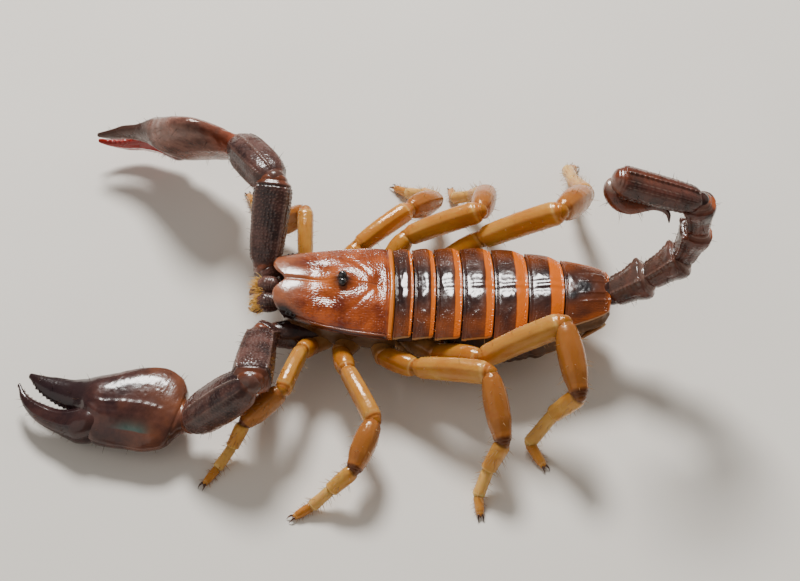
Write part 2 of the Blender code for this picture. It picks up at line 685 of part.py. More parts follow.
# ---------------------------------------------------------------- tail
def tail_joints():
    """Return the tail's six joints, in the midplane."""
    start = (TAIL_ROOT[0], 0.0, TAIL_ROOT[1])
    return joint_chain(start, [heading(0.0, pitch) for pitch in TAIL_PITCH], TAIL_LENGTHS)


def add_tail(materials, collection):
    """Add the five tail rings, curled forward over the back, and the sting."""
    joints = tail_joints()
    steps = [unit(b - a) for a, b in zip(joints[:-1], joints[1:])]
    fold = unit((STING_FOLD[0], 0.0, STING_FOLD[1]))
    for index in range(5):
        wide, high = TAIL_HALF_WIDTH[index], TAIL_HALF_HEIGHT[index]
        profile = ((0.0, wide * 0.72, high * 0.74), (0.14, wide * 0.9, high * 0.92), (0.5, wide, high),
                   (0.86, wide * 1.02, high * 1.04), (1.0, wide * 0.84, high * 0.86))
        direction = steps[index]
        hint = np.cross(direction, (0.0, 1.0, 0.0))
        before = steps[index - 1] if index else heading(0.0, -TAIL_PITCH[0])
        after = steps[index + 1] if index < 4 else fold
        rings = segment_rings(joints[index], joints[index + 1], before, after, profile, 12, hint, 0.8)
        add_loft(f"metasoma_{index + 1}", rings, materials["tail"], collection)

    end = joints[-1]
    path = [end + np.array((x, 0.0, z)) for x, z in STING_PATH]
    rings = []
    for k, (centre, radius) in enumerate(zip(path, STING_RADIUS)):
        ahead = path[min(k + 1, len(path) - 1)] - path[max(k - 1, 0)]
        direction = unit(ahead)
        top = np.cross((0.0, 1.0, 0.0), direction)
        ring = section(centre, (0.0, 1.0, 0.0), top, radius * STING_BREADTH, radius, 12, 1.0)
        if k < STING_BASE_RINGS:
            ring = mitre_clamp(ring, end, -unit(steps[4] + fold), -fold, GAP)
        rings.append(ring)
    add_loft("telson", rings, materials["sting"], collection)


# ---------------------------------------------------------------- whole animal
def clear_scene():
    """Remove every object that the file opened with."""
    for thing in list(bpy.data.objects):
        bpy.data.objects.remove(thing, do_unlink=True)


def new_collection(name):
    """Return a new collection, linked to the scene."""
    collection = bpy.data.collections.new(name)
    bpy.context.scene.collection.children.link(collection)
    return collection


def centre_over_origin(collection, guides):
    """Move everything so that the bounding box stands centred on the origin, on Z = 0."""
    graph = bpy.context.evaluated_depsgraph_get()
    corners = []
    for thing in collection.objects:
        shown = thing.evaluated_get(graph)
        mesh = shown.to_mesh()
        points = np.empty(len(mesh.vertices) * 3)
        mesh.vertices.foreach_get("co", points)
        matrix = np.array(shown.matrix_world)
        corners.append(points.reshape(-1, 3) @ matrix[:3, :3].T + matrix[:3, 3])
        shown.to_mesh_clear()
    points = np.concatenate(corners)
    low, high = points.min(axis=0), points.max(axis=0)
    shift = ((low[0] + high[0]) / 2, (low[1] + high[1]) / 2, low[2])
    for thing in [*collection.objects, *guides.objects]:
        for axis in range(3):
            thing.location[axis] -= shift[axis]


def main():
    """Build the animal."""
    clear_scene()
    collection = new_collection(COLLECTION)
    guides = new_collection("guides")
    materials = make_materials()
    add_carapace(materials, collection, guides)
    add_eyes(materials, collection)
    add_chelicerae(materials, collection)
    add_prosoma(materials, collection, guides)
    add_tergites(materials, collection)
    add_abdomen(materials, collection)
    add_sternites(materials, collection)
    add_pectines(materials, collection, guides)
    for side in ("left", "right"):
        add_palp(side, materials, collection)
        for number in LEG_LENGTHS:
            add_leg(side, number, materials, collection)
    add_tail(materials, collection)
    bpy.context.view_layer.update()
    centre_over_origin(collection, guides)


main()
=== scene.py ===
"""Looks of the desert scorpion: high-detail shell pieces, bristles, finishes, lights and camera.

Shapes are worked out in millimetres in the animal's own frame: head toward -X, left side toward
-Y, midline on Y = 0 and soles on Z = 0.  Workshop.place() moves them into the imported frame.
"""

from __future__ import annotations

import logging
import math
from dataclasses import dataclass, field
from enum import Enum, IntEnum

import bpy
import numpy as np
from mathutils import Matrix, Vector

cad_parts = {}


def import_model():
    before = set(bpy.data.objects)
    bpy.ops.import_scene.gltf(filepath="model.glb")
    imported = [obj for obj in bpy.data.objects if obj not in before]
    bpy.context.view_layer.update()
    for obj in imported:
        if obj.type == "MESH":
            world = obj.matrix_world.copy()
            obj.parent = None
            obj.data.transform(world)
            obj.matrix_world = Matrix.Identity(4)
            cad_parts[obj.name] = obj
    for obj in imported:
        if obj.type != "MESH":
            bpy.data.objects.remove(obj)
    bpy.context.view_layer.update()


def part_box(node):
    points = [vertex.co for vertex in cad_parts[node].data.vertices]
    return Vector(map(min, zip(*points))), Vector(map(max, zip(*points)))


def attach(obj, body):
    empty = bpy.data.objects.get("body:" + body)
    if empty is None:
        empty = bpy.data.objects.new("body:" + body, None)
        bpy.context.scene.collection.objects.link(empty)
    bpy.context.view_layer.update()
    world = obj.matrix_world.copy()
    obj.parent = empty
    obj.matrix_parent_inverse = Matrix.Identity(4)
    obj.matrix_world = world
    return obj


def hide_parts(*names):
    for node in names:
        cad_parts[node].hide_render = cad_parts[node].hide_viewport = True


log = logging.getLogger("scorpion")

Array = np.ndarray
MM = 0.001
UP = np.array((0.0, 0.0, 1.0))
ACROSS = np.array((0.0, 1.0, 0.0))
FULL_TURN = 2 * math.pi


class Side(Enum):
    """The two sides of the animal, with the sign of Y."""

    LEFT = -1.0
    RIGHT = 1.0

    @property
    def label(self) -> str:
        """Return the side's name as the nodes spell it."""
        return self.name.lower()


# ---------------------------------------------------------------- numbers and directions
def unit(vector: Array) -> Array:
    """Return the vectors at length one, along the last axis."""
    vector = np.asarray(vector, float)
    return vector / np.maximum(np.linalg.norm(vector, axis=-1, keepdims=True), 1e-12)


def heading(yaw: float, pitch: float) -> Array:
    """Return the direction with a yaw about Z from +X and a pitch above level, in degrees."""
    yaw, pitch = math.radians(yaw), math.radians(pitch)
    return np.array((math.cos(pitch) * math.cos(yaw), math.cos(pitch) * math.sin(yaw), math.sin(pitch)))


def hump(value: Array, width: float) -> Array:
    """Return a bell curve: one at zero, fading over the width."""
    return np.exp(-((np.asarray(value, float) / width) ** 2))


def ramp(low: float, high: float, value: Array) -> Array:
    """Return a smooth step from zero at low to one at high."""
    share = np.clip((np.asarray(value, float) - low) / (high - low), 0.0, 1.0)
    return share * share * (3.0 - 2.0 * share)


def smooth_through(value: Array, stations: Array, heights: Array) -> Array:
    """Return a smooth curve through the stations that never overshoots them.

    The slope at each station is the harmonic mean of its neighbours' slopes, and a cubic joins
    one station to the next.

    Args:
        value: where to read the curve.
        stations: rising positions of the known points.
        heights: the curve's value at each station.
    """
    x, y = np.asarray(stations, float), np.asarray(heights, float)
    step = np.diff(x)
    slope = np.diff(y) / step
    product = slope[:-1] * slope[1:]
    agree = product > 0
    inner = np.where(agree, 2.0 * product / np.where(agree, slope[:-1] + slope[1:], 1.0), 0.0)
    tangent = np.concatenate(([slope[0]], inner, [slope[-1]]))
    value = np.clip(value, x[0], x[-1])
    k = np.clip(np.searchsorted(x, value, side="right") - 1, 0, len(step) - 1)
    t = (value - x[k]) / step[k]
    return (y[k] * (1 + 2 * t) * (1 - t) ** 2 + y[k + 1] * t * t * (3 - 2 * t)
            + step[k] * tangent[k] * t * (1 - t) ** 2 - step[k] * tangent[k + 1] * t * t * (1 - t))


def hashed(cell: Array, seed: int) -> Array:
    """Return a repeatable number in 0..1 for each whole-number cell, along the last axis."""
    mixed = np.full(cell.shape[:-1], seed * 7919 + 17, np.int64)
    for axis, prime in zip(range(cell.shape[-1]), (374761393, 668265263, 974711)):
        mixed = mixed + cell[..., axis] * prime
    mixed = (mixed ^ (mixed >> 13)) * 1274126177
    return ((mixed ^ (mixed >> 16)) & 0xFFFF) / 65535.0


def noise(points: Array, scale: float, seed: int = 0, octaves: int = 1) -> Array:
    """Return smooth noise in -1..1 at the points: hashed lattice values, blended within each cell.

    Args:
        points: positions, in millimetres.
        scale: cells to the millimetre of the coarsest octave.
        seed: picks another pattern.
        octaves: how many halvings of the cell are added at half strength each.
    """
    total, weight = 0.0, 0.0
    for octave in range(octaves):
        spot = np.asarray(points, float) * scale * 2 ** octave
        cell = np.floor(spot).astype(np.int64)
        blend = spot - cell
        blend = blend * blend * (3 - 2 * blend)
        value = 0.0
        for corner in np.ndindex(*(2,) * spot.shape[-1]):
            share = np.prod(np.where(np.array(corner) == 1, blend, 1 - blend), axis=-1)
            value = value + share * hashed(cell + np.array(corner), seed + octave)
        total = total + (value * 2 - 1) * 0.5 ** octave
        weight += 0.5 ** octave
    return total / weight


def granules(along: Array, around: Array, seed: int, size: float = 0.42,
             wrap: int | None = None) -> Array:
    """Return scattered round bumps in 0..1: one jittered dome in each cell of a grid.

    Args:
        along, around: grid coordinates, in cells.
        seed: picks another scatter.
        size: a dome's radius, in cells.
        wrap: number of cells round the piece, after which the pattern repeats.
    """
    along, around = np.broadcast_arrays(np.asarray(along, float), np.asarray(around, float))
    spot = np.stack((along, around), axis=-1)
    cell = np.floor(spot).astype(np.int64)
    best = np.zeros(spot.shape[:-1])
    for shift in np.ndindex(3, 3):
        home = cell + np.array(shift) - 1
        keyed = home.copy()
        if wrap:
            keyed[..., 1] %= wrap
        jitter = np.stack((hashed(keyed, seed), hashed(keyed, seed + 1)), axis=-1)
        reach = size * (0.6 + 0.4 * hashed(keyed, seed + 2))
        distance = np.linalg.norm(spot - home - 0.2 - 0.6 * jitter, axis=-1)
        best = np.maximum(best, np.sqrt(np.clip(1 - (distance / reach) ** 2, 0, 1)))
    return best


# ---------------------------------------------------------------- surfaces
MASKS = ("band", "dark", "pale")
OUTLINE_STEPS = 2881
END_MARGIN = 0.02
POLE_OPENING = 0.06
HAIR_CLEARANCE = 0.02


@dataclass
class Skin:
    """A closed surface: points in millimetres, four-sided and three-sided faces, and masks."""

    points: Array
    quads: Array
    tris: Array
    masks: dict[str, Array] = field(default_factory=dict)

    def outward(self) -> Skin:
        """Return the surface with its faces pointing out, judged by its signed volume."""
        p = self.points - self.points.mean(axis=0)
        faces = np.concatenate((self.tris, self.quads[:, :3], self.quads[:, [0, 2, 3]]))
        a, b, c = p[faces[:, 0]], p[faces[:, 1]], p[faces[:, 2]]
        if np.einsum("ij,ij->i", a, np.cross(b, c)).sum() >= 0:
            return self
        return Skin(self.points, self.quads[:, ::-1], self.tris[:, ::-1], self.masks)


def joined(skins: list[Skin]) -> Skin:
    """Return one surface that holds all the given ones."""
    skins = [skin.outward() for skin in skins]
    starts = np.cumsum([0] + [len(skin.points) for skin in skins])
    masks = {name: np.concatenate([skin.masks.get(name, np.zeros(len(skin.points))) for skin in skins])
             for name in MASKS}
    return Skin(
        np.concatenate([skin.points for skin in skins]),
        np.concatenate([skin.quads + start for skin, start in zip(skins, starts)]),
        np.concatenate([skin.tris + start for skin, start in zip(skins, starts)]),
        masks,
    )


def normals_of(grid: Array, wrap: bool) -> Array:
    """Return the unit normal at each point of a grid, from its two tangents."""
    along = np.gradient(grid, axis=0)
    if wrap:
        around = (np.roll(grid, -1, axis=1) - np.roll(grid, 1, axis=1)) / 2
    else:
        around = np.gradient(grid, axis=1)
    return unit(np.cross(around, along))


def grid_quads(rows: int, columns: int, wrap: bool) -> Array:
    """Return the four-sided faces of a grid of points, closed round its columns if it wraps."""
    i, j = np.meshgrid(np.arange(rows - 1), np.arange(columns if wrap else columns - 1), indexing="ij")
    after = (j + 1) % columns
    row, following = i * columns, (i + 1) * columns
    return np.stack((row + j, row + after, following + after, following + j), -1).reshape(-1, 4)


@dataclass
class Tube:
    """A surface carried along a path, closed round and at both ends.

    Attributes:
        grid: points, along the path by round it.
        share: place along the path from 0 to 1 at its joints, for each row.
        angle: angle round the path, for each column: 0 at the side, 90 degrees at the top.
        masks: finish masks at the grid's points.
    """

    grid: Array
    share: Array
    angle: Array
    masks: dict[str, Array] = field(default_factory=dict)

    @property
    def along(self) -> Array:
        """Return the place along the path, as a column that spreads over the grid."""
        return self.share[:, None]

    @property
    def turn(self) -> Array:
        """Return the share of a full turn round the path, as a row that spreads over the grid."""
        return self.angle[None] / FULL_TURN

    def off(self, angle: float) -> Array:
        """Return how far each column lies from an angle, in degrees, as a row."""
        return np.abs((np.degrees(self.angle) - angle + 180) % 360 - 180)[None]

    @property
    def outward(self) -> Array:
        """Return the outward normals, turned away from the tube's own axis."""
        normal = normals_of(self.grid, True)
        away = self.grid - self.grid.mean(axis=1, keepdims=True)
        return normal if np.sum(normal * away) > 0 else -normal

    def raised(self, height: Array) -> Tube:
        """Return the tube with its surface moved out along its normals, in millimetres."""
        lift = np.broadcast_to(height, self.grid.shape[:2])
        return Tube(self.grid + self.outward * lift[..., None], self.share, self.angle, self.masks)

    def masked(self, **masks: Array) -> Tube:
        """Return the tube with these masks set."""
        full = {name: np.broadcast_to(value, self.grid.shape[:2]) for name, value in masks.items()}
        return Tube(self.grid, self.share, self.angle, {**self.masks, **full})

    def skin(self) -> Skin:
        """Return the closed surface, with a pole at each end."""
        rows, columns = self.grid.shape[:2]
        poles = np.stack((self.grid[0].mean(axis=0), self.grid[-1].mean(axis=0)))
        points = np.concatenate((self.grid.reshape(-1, 3), poles))
        ring = np.arange(columns)
        after = (ring + 1) % columns
        last = (rows - 1) * columns
        first_pole = np.stack((after, ring, np.full(columns, rows * columns)), -1)
        last_pole = np.stack((last + ring, last + after, np.full(columns, rows * columns + 1)), -1)
        masks = {name: np.concatenate((value.reshape(-1), (value[0].mean(), value[-1].mean())))
                 for name, value in self.masks.items()}
        tris = np.concatenate((first_pole, last_pole))
        return Skin(points, grid_quads(rows, columns, True), tris, masks)


def ring_angles(columns: int) -> Array:
    """Return evenly spaced angles once round."""
    return np.arange(columns) * FULL_TURN / columns


def crowded(rows: int, margin: float = 0.0) -> Array:
    """Return rising shares from 0 to 1 that crowd toward both ends, by half a cosine.

    Args:
        rows: how many.
        margin: share of the cosine's half turn that is left off at each end.
    """
    return 0.5 - 0.5 * np.cos(np.linspace(margin, 1.0 - margin, rows) * math.pi)


def rounded_ends(before: Array, after: Array) -> Array:
    """Return the shrinking of a tube at its ends: a quarter circle over each end's own reach.

    Args:
        before, after: how far past the first and the last station each row lies, in reaches.
    """
    before, after = np.clip(before, 0, 1), np.clip(after, 0, 1)
    return np.sqrt(np.clip(1 - before ** 2, 0, 1) * np.clip(1 - after ** 2, 0, 1))


def superellipse(angle: Array, squareness: float) -> tuple[Array, Array]:
    """Return the side and top shares of a rounded oval, evenly spaced along its outline.

    The outline is signed powers of cosine and sine, walked by its length instead of by the angle.
    """
    turn = np.linspace(0.0, FULL_TURN, OUTLINE_STEPS)
    across, along = (np.sign(wave) * np.abs(wave) ** squareness for wave in (np.cos(turn), np.sin(turn)))
    length = np.concatenate(([0.0], np.cumsum(np.hypot(np.diff(across), np.diff(along)))))
    walked = length / length[-1] * FULL_TURN
    return np.interp(angle, walked, across), np.interp(angle, walked, along)


def sweep(path: Array, side: Array, top: Array, half_width: Array, half_height: Array,
          columns: int, squareness: float, share: Array) -> Tube:
    """Return a tube with a rounded oval section along a path.

    Args:
        path: centre of each row.
        side, top: the section's two axes, at each row or for all rows.
        half_width, half_height: the section's half sizes at each row.
        columns: points round the section.
        squareness: 1 for an oval, less for a boxier section.
        share: place along the path of each row.
    """
    angle = ring_angles(columns)
    across, along = superellipse(angle, squareness)
    side, top = (np.broadcast_to(axis, path.shape)[:, None, :] for axis in (side, top))
    grid = (path[:, None, :] + side * (across[None, :] * half_width[:, None])[..., None]
            + top * (along[None, :] * half_height[:, None])[..., None])
    return Tube(grid, share, angle)


def limb_segment(start: Array, end: Array, profile: tuple, hint: Array = UP, squareness: float = 0.9,
                 rows: int = 72, columns: int = 48, bow: float = 0.0, dome: float = 0.55) -> Tube:
    """Return one limb segment: a swelling tube between two joints with rounded ends.

    Args:
        start, end: the joints.
        profile: stations of share of the length, half width and half height.
        hint: the direction that counts as the limb's top.
        squareness: 1 for an oval section, less for a boxier one.
        rows, columns: points along and round.
        bow: how far the middle rises toward the top.
        dome: depth of the rounded ends, as a share of their half height.
    """
    direction = unit(end - start)
    side = unit(np.cross(direction, hint))
    top = np.cross(side, direction)
    length = np.linalg.norm(end - start)
    stations, widths, heights = np.array(profile).T
    caps = np.array((heights[0], heights[-1])) * dome / length
    share = -caps[0] + (1 + caps.sum()) * crowded(rows, END_MARGIN)
    rounding = rounded_ends(-share / caps[0], (share - 1) / caps[1])
    half_width = smooth_through(share, stations, widths) * rounding
    half_height = smooth_through(share, stations, heights) * rounding
    lift = bow * np.sin(np.clip(share, 0, 1) * math.pi)
    path = start + np.outer(share, end - start) + np.outer(lift, top)
    return sweep(path, side, top, half_width, half_height, columns, squareness, share)


def plate_skin(top: Array, thickness: float, masks: dict[str, Array], facing: float = 1.0) -> Skin:
    """Return a closed plate: its outer grid, an inner one pushed inward, and a rim between them.

    Args:
        top: the outer surface.
        thickness: how far inward the inner surface lies.
        masks: finish masks of the outer surface, which the inner one shares.
        facing: 1 if the outer surface faces up, -1 if it faces down.
    """
    rows, columns = top.shape[:2]
    normal = normals_of(top, False)
    normal = normal * (facing if normal[rows // 2, columns // 2, 2] > 0 else -facing)
    low = top - normal * thickness
    count = rows * columns
    border = np.concatenate((
        np.arange(columns), np.arange(1, rows) * columns + columns - 1,
        (rows - 1) * columns + np.arange(columns - 2, -1, -1), np.arange(rows - 2, 0, -1) * columns))
    after = np.roll(border, -1)
    rim = np.stack((border, border + count, after + count, after), -1)
    upper = grid_quads(rows, columns, False)
    quads = np.concatenate((upper, upper[:, ::-1] + count, rim))
    points = np.concatenate((top.reshape(-1, 3), low.reshape(-1, 3)))
    full = {name: np.tile(np.broadcast_to(value, (rows, columns)).reshape(-1), 2)
            for name, value in masks.items()}
    return Skin(points, quads, np.empty((0, 3), int), full)


def ball(centre: Array, radius: float, squash: tuple = (1.0, 1.0, 1.0), rows: int = 14,
         columns: int = 20, **masks: float) -> Skin:
    """Return a rounded knob: a sphere stretched along the three axes."""
    polar = np.linspace(POLE_OPENING, math.pi - POLE_OPENING, rows)
    angle = ring_angles(columns)
    grid = np.stack((np.outer(np.sin(polar), np.cos(angle)), np.outer(np.sin(polar), np.sin(angle)),
                     np.outer(np.cos(polar), np.ones(columns))), axis=-1)
    tube = Tube(np.asarray(centre) + grid * radius * np.array(squash), polar / math.pi, angle)
    return tube.masked(**masks).skin()


def curved_path(points: Array, rows: int) -> tuple[Array, Array, Array]:
    """Return a smooth path through points, with its directions and its share of the way.

    Each coordinate is a smooth curve over the length from point to point.
    """
    points = np.asarray(points, float)
    length = np.concatenate(([0.0], np.cumsum(np.linalg.norm(np.diff(points, axis=0), axis=1))))
    share = crowded(rows)
    path = np.stack([smooth_through(share * length[-1], length, axis) for axis in points.T], -1)
    for _ in range(3):
        path[1:-1] = (path[:-2] + path[1:-1] * 2 + path[2:]) / 4
    return path, unit(np.gradient(path, axis=0)), share


def curved_tube(points: Array, radii: tuple, side: Array, columns: int = 24, rows: int = 40,
                breadth: float = 1.0) -> Tube:
    """Return a tapering tube along a smooth path, rounded at both ends.

    Args:
        points: the path's own points.
        radii: half height at each of them.
        side: a direction across the path that stays to one side.
        columns, rows: points round and along.
        breadth: half width over half height.
    """
    path, direction, share = curved_path(points, rows)
    side = unit(side - direction * (direction @ np.asarray(side, float))[:, None])
    top = np.cross(side, direction)
    radius = smooth_through(share, np.linspace(0, 1, len(radii)), radii)
    for past in (1 - share / 0.03, (share - 0.985) / 0.015):
        radius = radius * np.sqrt(np.clip(1 - np.clip(past, 0, 1) ** 2, 0.02, 1))
    return sweep(path, side, top, radius * breadth, radius, columns, 1.0, share)


# ---------------------------------------------------------------- bristles
@dataclass
class Bristles:
    """Tapered hairs that stand on a surface, made as one mesh.

    Attributes:
        roots: where each hair grows.
        directions: the way each one points.
        lengths: their lengths.
        spots: each root's place on an unwrap of the skin, both ways from 0 to 1.
        radius: half thickness at the root.
        taper: share of it that is lost along the hair.
        patch: size of one hair's place on the unwrap.
        sides, steps: faces round a hair and rings along it.
    """

    roots: Array
    directions: Array
    lengths: Array
    spots: Array
    radius: float = 0.028
    taper: float = 0.75
    patch: float = 0.003
    sides: int = 3
    steps: int = 4

    def build(self, sag: float = 0.12) -> tuple[Array, Array, Array, Array]:
        """Return points, four-sided faces, three-sided faces and map places of every hair.

        A hair is a tapering prism whose axis droops with the square of the way along it.
        """
        count = len(self.roots)
        direction, lengths = unit(self.directions), self.lengths[:, None]
        side = unit(np.cross(direction, UP + 0.01))
        top = np.cross(side, direction)
        step = np.arange(self.steps) / self.steps
        angle = ring_angles(self.sides)
        axis = (self.roots[:, None] + direction[:, None] * (lengths * step)[..., None]
                - UP * (lengths * step ** 2 * sag)[..., None])
        radius = self.radius * (1 - step * self.taper)
        ring = side[:, None] * np.cos(angle)[None, :, None] + top[:, None] * np.sin(angle)[None, :, None]
        rings = axis[:, :, None] + ring[:, None] * radius[None, :, None, None]
        tips = self.roots + direction * lengths - UP * (lengths * sag)
        per = self.steps * self.sides + 1
        points = np.concatenate((rings.reshape(count, -1, 3), tips[:, None]), axis=1)
        quads = grid_quads(self.steps, self.sides, True)[:, ::-1]
        last = (self.steps - 1) * self.sides
        around = np.arange(self.sides)
        after = (around + 1) % self.sides
        tip = np.stack((last + after, last + around, np.full(self.sides, per - 1)), -1)
        tris = np.concatenate((tip, [[0, 1, 2]]))
        starts = (np.arange(count) * per)[:, None, None]
        wall = np.stack(np.meshgrid(step, angle / FULL_TURN, indexing="ij"), -1).reshape(-1, 2)
        local = np.concatenate((wall, [[1.0, 0.5]])) - 0.5
        places = self.spots[:, None] * (1 - self.patch) + local[None] * self.patch + self.patch / 2
        return (points.reshape(-1, 3), (quads[None] + starts).reshape(-1, 4),
                (tris[None] + starts).reshape(-1, 3), places.reshape(-1, 2))


def bristles_on(tube: Tube, count: int, seed: int, length: float, share: tuple = (0.05, 0.95),
                lean: float = 0.45, slot: tuple = (0, 1)) -> Bristles:
    """Return hairs scattered over part of a tube, leaning toward its far end.

    Args:
        tube: the surface they stand on.
        count: how many hairs.
        seed: seed of the scatter.
        length: mean length.
        share: the stretch of the tube that bears hairs.
        lean: how far they lean along the tube.
        slot: which strip of the map they take, and of how many.
    """
    rng = np.random.default_rng(seed)
    rows, columns = tube.grid.shape[:2]
    wanted = rng.uniform(*share, count)
    row = np.clip(np.searchsorted(tube.share, wanted), 1, rows - 2)
    turn = np.radians(rng.uniform(0.0, 360.0, count))
    column = np.round(turn / FULL_TURN * columns).astype(int) % columns
    normal = tube.outward[row, column]
    along = unit(tube.grid[row + 1, column] - tube.grid[row - 1, column])
    leaning = along * (lean + rng.normal(0, 0.15, count))[:, None]
    directions = normal + leaning + rng.normal(0, 0.12, (count, 3))
    lengths = length * rng.uniform(0.55, 1.3, count)
    spots = np.stack(((slot[0] + column / columns) / slot[1], np.clip(wanted, 0, 1)), -1)
    return Bristles(tube.grid[row, column] - normal * 0.02, directions, lengths, spots)


# ---------------------------------------------------------------- node building
class Graph:
    """A thin helper over a node tree: makes nodes, sets their sockets and links them."""

    def __init__(self, tree: bpy.types.NodeTree) -> None:
        """Keep the tree."""
        self.tree = tree

    def node(self, kind: str, inputs: dict | None = None, **settings: object) -> bpy.types.Node:
        """Return a new node.

        Args:
            kind: its type name.
            inputs: input socket to a value or to an output socket to link.
            settings: attributes of the node itself.
        """
        made = self.tree.nodes.new(kind)
        for name, value in settings.items():
            setattr(made, name, value)
        for name, value in (inputs or {}).items():
            self.feed(made.inputs[name], value)
        return made

    def feed(self, socket: bpy.types.NodeSocket, value: object) -> None:
        """Link an output to the socket, or set the socket's own value."""
        if isinstance(value, bpy.types.NodeSocket):
            self.tree.links.new(value, socket)
        elif isinstance(value, tuple) and len(value) == 3 and socket.type == "RGBA":
            socket.default_value = (*value, 1.0)
        else:
            socket.default_value = value

    def math(self, operation: str, first: object, second: object = 0.0, clamp: bool = False) -> object:
        """Return the output of a Math node."""
        made = self.node("ShaderNodeMath", {0: first, 1: second}, operation=operation, use_clamp=clamp)
        return made.outputs[0]

    def mix(self, share: object, first: object, second: object, blend: str = "MIX") -> object:
        """Return the output of a colour Mix node."""
        made = self.node("ShaderNodeMix", data_type="RGBA", blend_type=blend)
        self.feed(made.inputs[0], share)
        self.feed(made.inputs[6], first)
        self.feed(made.inputs[7], second)
        return made.outputs[2]

    def remap(self, value: object, low: float, high: float, to_low: float = 0.0,
              to_high: float = 1.0) -> object:
        """Return the value moved from one range to another, and clamped there."""
        inputs = {"Value": value, "From Min": low, "From Max": high, "To Min": to_low, "To Max": to_high}
        return self.node("ShaderNodeMapRange", inputs).outputs[0]

    def attribute(self, name: str) -> object:
        """Return the value of a point attribute."""
        return self.node("ShaderNodeAttribute", attribute_name=name).outputs["Fac"]

    def noise(self, vector: object, scale: float, detail: float = 2.0, roughness: float = 0.5) -> object:
        """Return the value of a noise texture."""
        inputs = {"Vector": vector, "Scale": scale, "Detail": detail, "Roughness": roughness}
        return self.node("ShaderNodeTexNoise", inputs).outputs["Fac"]


def shared_group(name: str, inputs: dict[str, float],
                 outputs: tuple[str, ...]) -> tuple[bpy.types.NodeTree, Graph, dict]:
    """Return a new shader group with float inputs and outputs, its graph, and its input sockets."""
    tree = bpy.data.node_groups.new(name, "ShaderNodeTree")
    for label, value in inputs.items():
        socket = tree.interface.new_socket(label, in_out="INPUT", socket_type="NodeSocketFloat")
        socket.default_value = value
    for label in outputs:
        tree.interface.new_socket(label, in_out="OUTPUT", socket_type="NodeSocketFloat")
    graph = Graph(tree)
    entry = graph.node("NodeGroupInput")
    return tree, graph, {label: entry.outputs[label] for label in inputs}


def cuticle_group() -> bpy.types.NodeTree:
    """Return the grain of hard shell: fine wrinkles, pits and soft mottling.

    Height is fine noise plus shallow pits; Mottle is a slow cloud; Fleck marks scattered pits.
    """
    tree, graph, sockets = shared_group("cuticle", {"Fineness": 1.0, "Pits": 0.3, "Wrinkle": 0.5},
                                        ("Height", "Mottle", "Fleck"))
    place = graph.node("ShaderNodeTexCoord").outputs["Object"]
    scaled = graph.node("ShaderNodeVectorMath", {0: place}, operation="SCALE")
    graph.feed(scaled.inputs["Scale"], sockets["Fineness"])
    vector = scaled.outputs[0]
    fine = graph.noise(vector, 5200.0, 3.0, 0.6)
    broad = graph.noise(vector, 1100.0, 2.0, 0.55)
    cells = graph.node("ShaderNodeTexVoronoi", {"Vector": vector, "Scale": 2300.0}).outputs["Distance"]
    pit = graph.remap(cells, 0.12, 0.34, 1.0, 0.0)
    wrinkle = graph.math("MULTIPLY", graph.math("ADD", fine, broad), sockets["Wrinkle"])
    height = graph.math("SUBTRACT", wrinkle, graph.math("MULTIPLY", pit, sockets["Pits"]))
    mottle = graph.noise(place, 420.0, 4.0, 0.62)
    exit_node = graph.node("NodeGroupOutput")
    for label, value in (("Height", height), ("Mottle", mottle), ("Fleck", pit)):
        graph.feed(exit_node.inputs[label], value)
    return tree


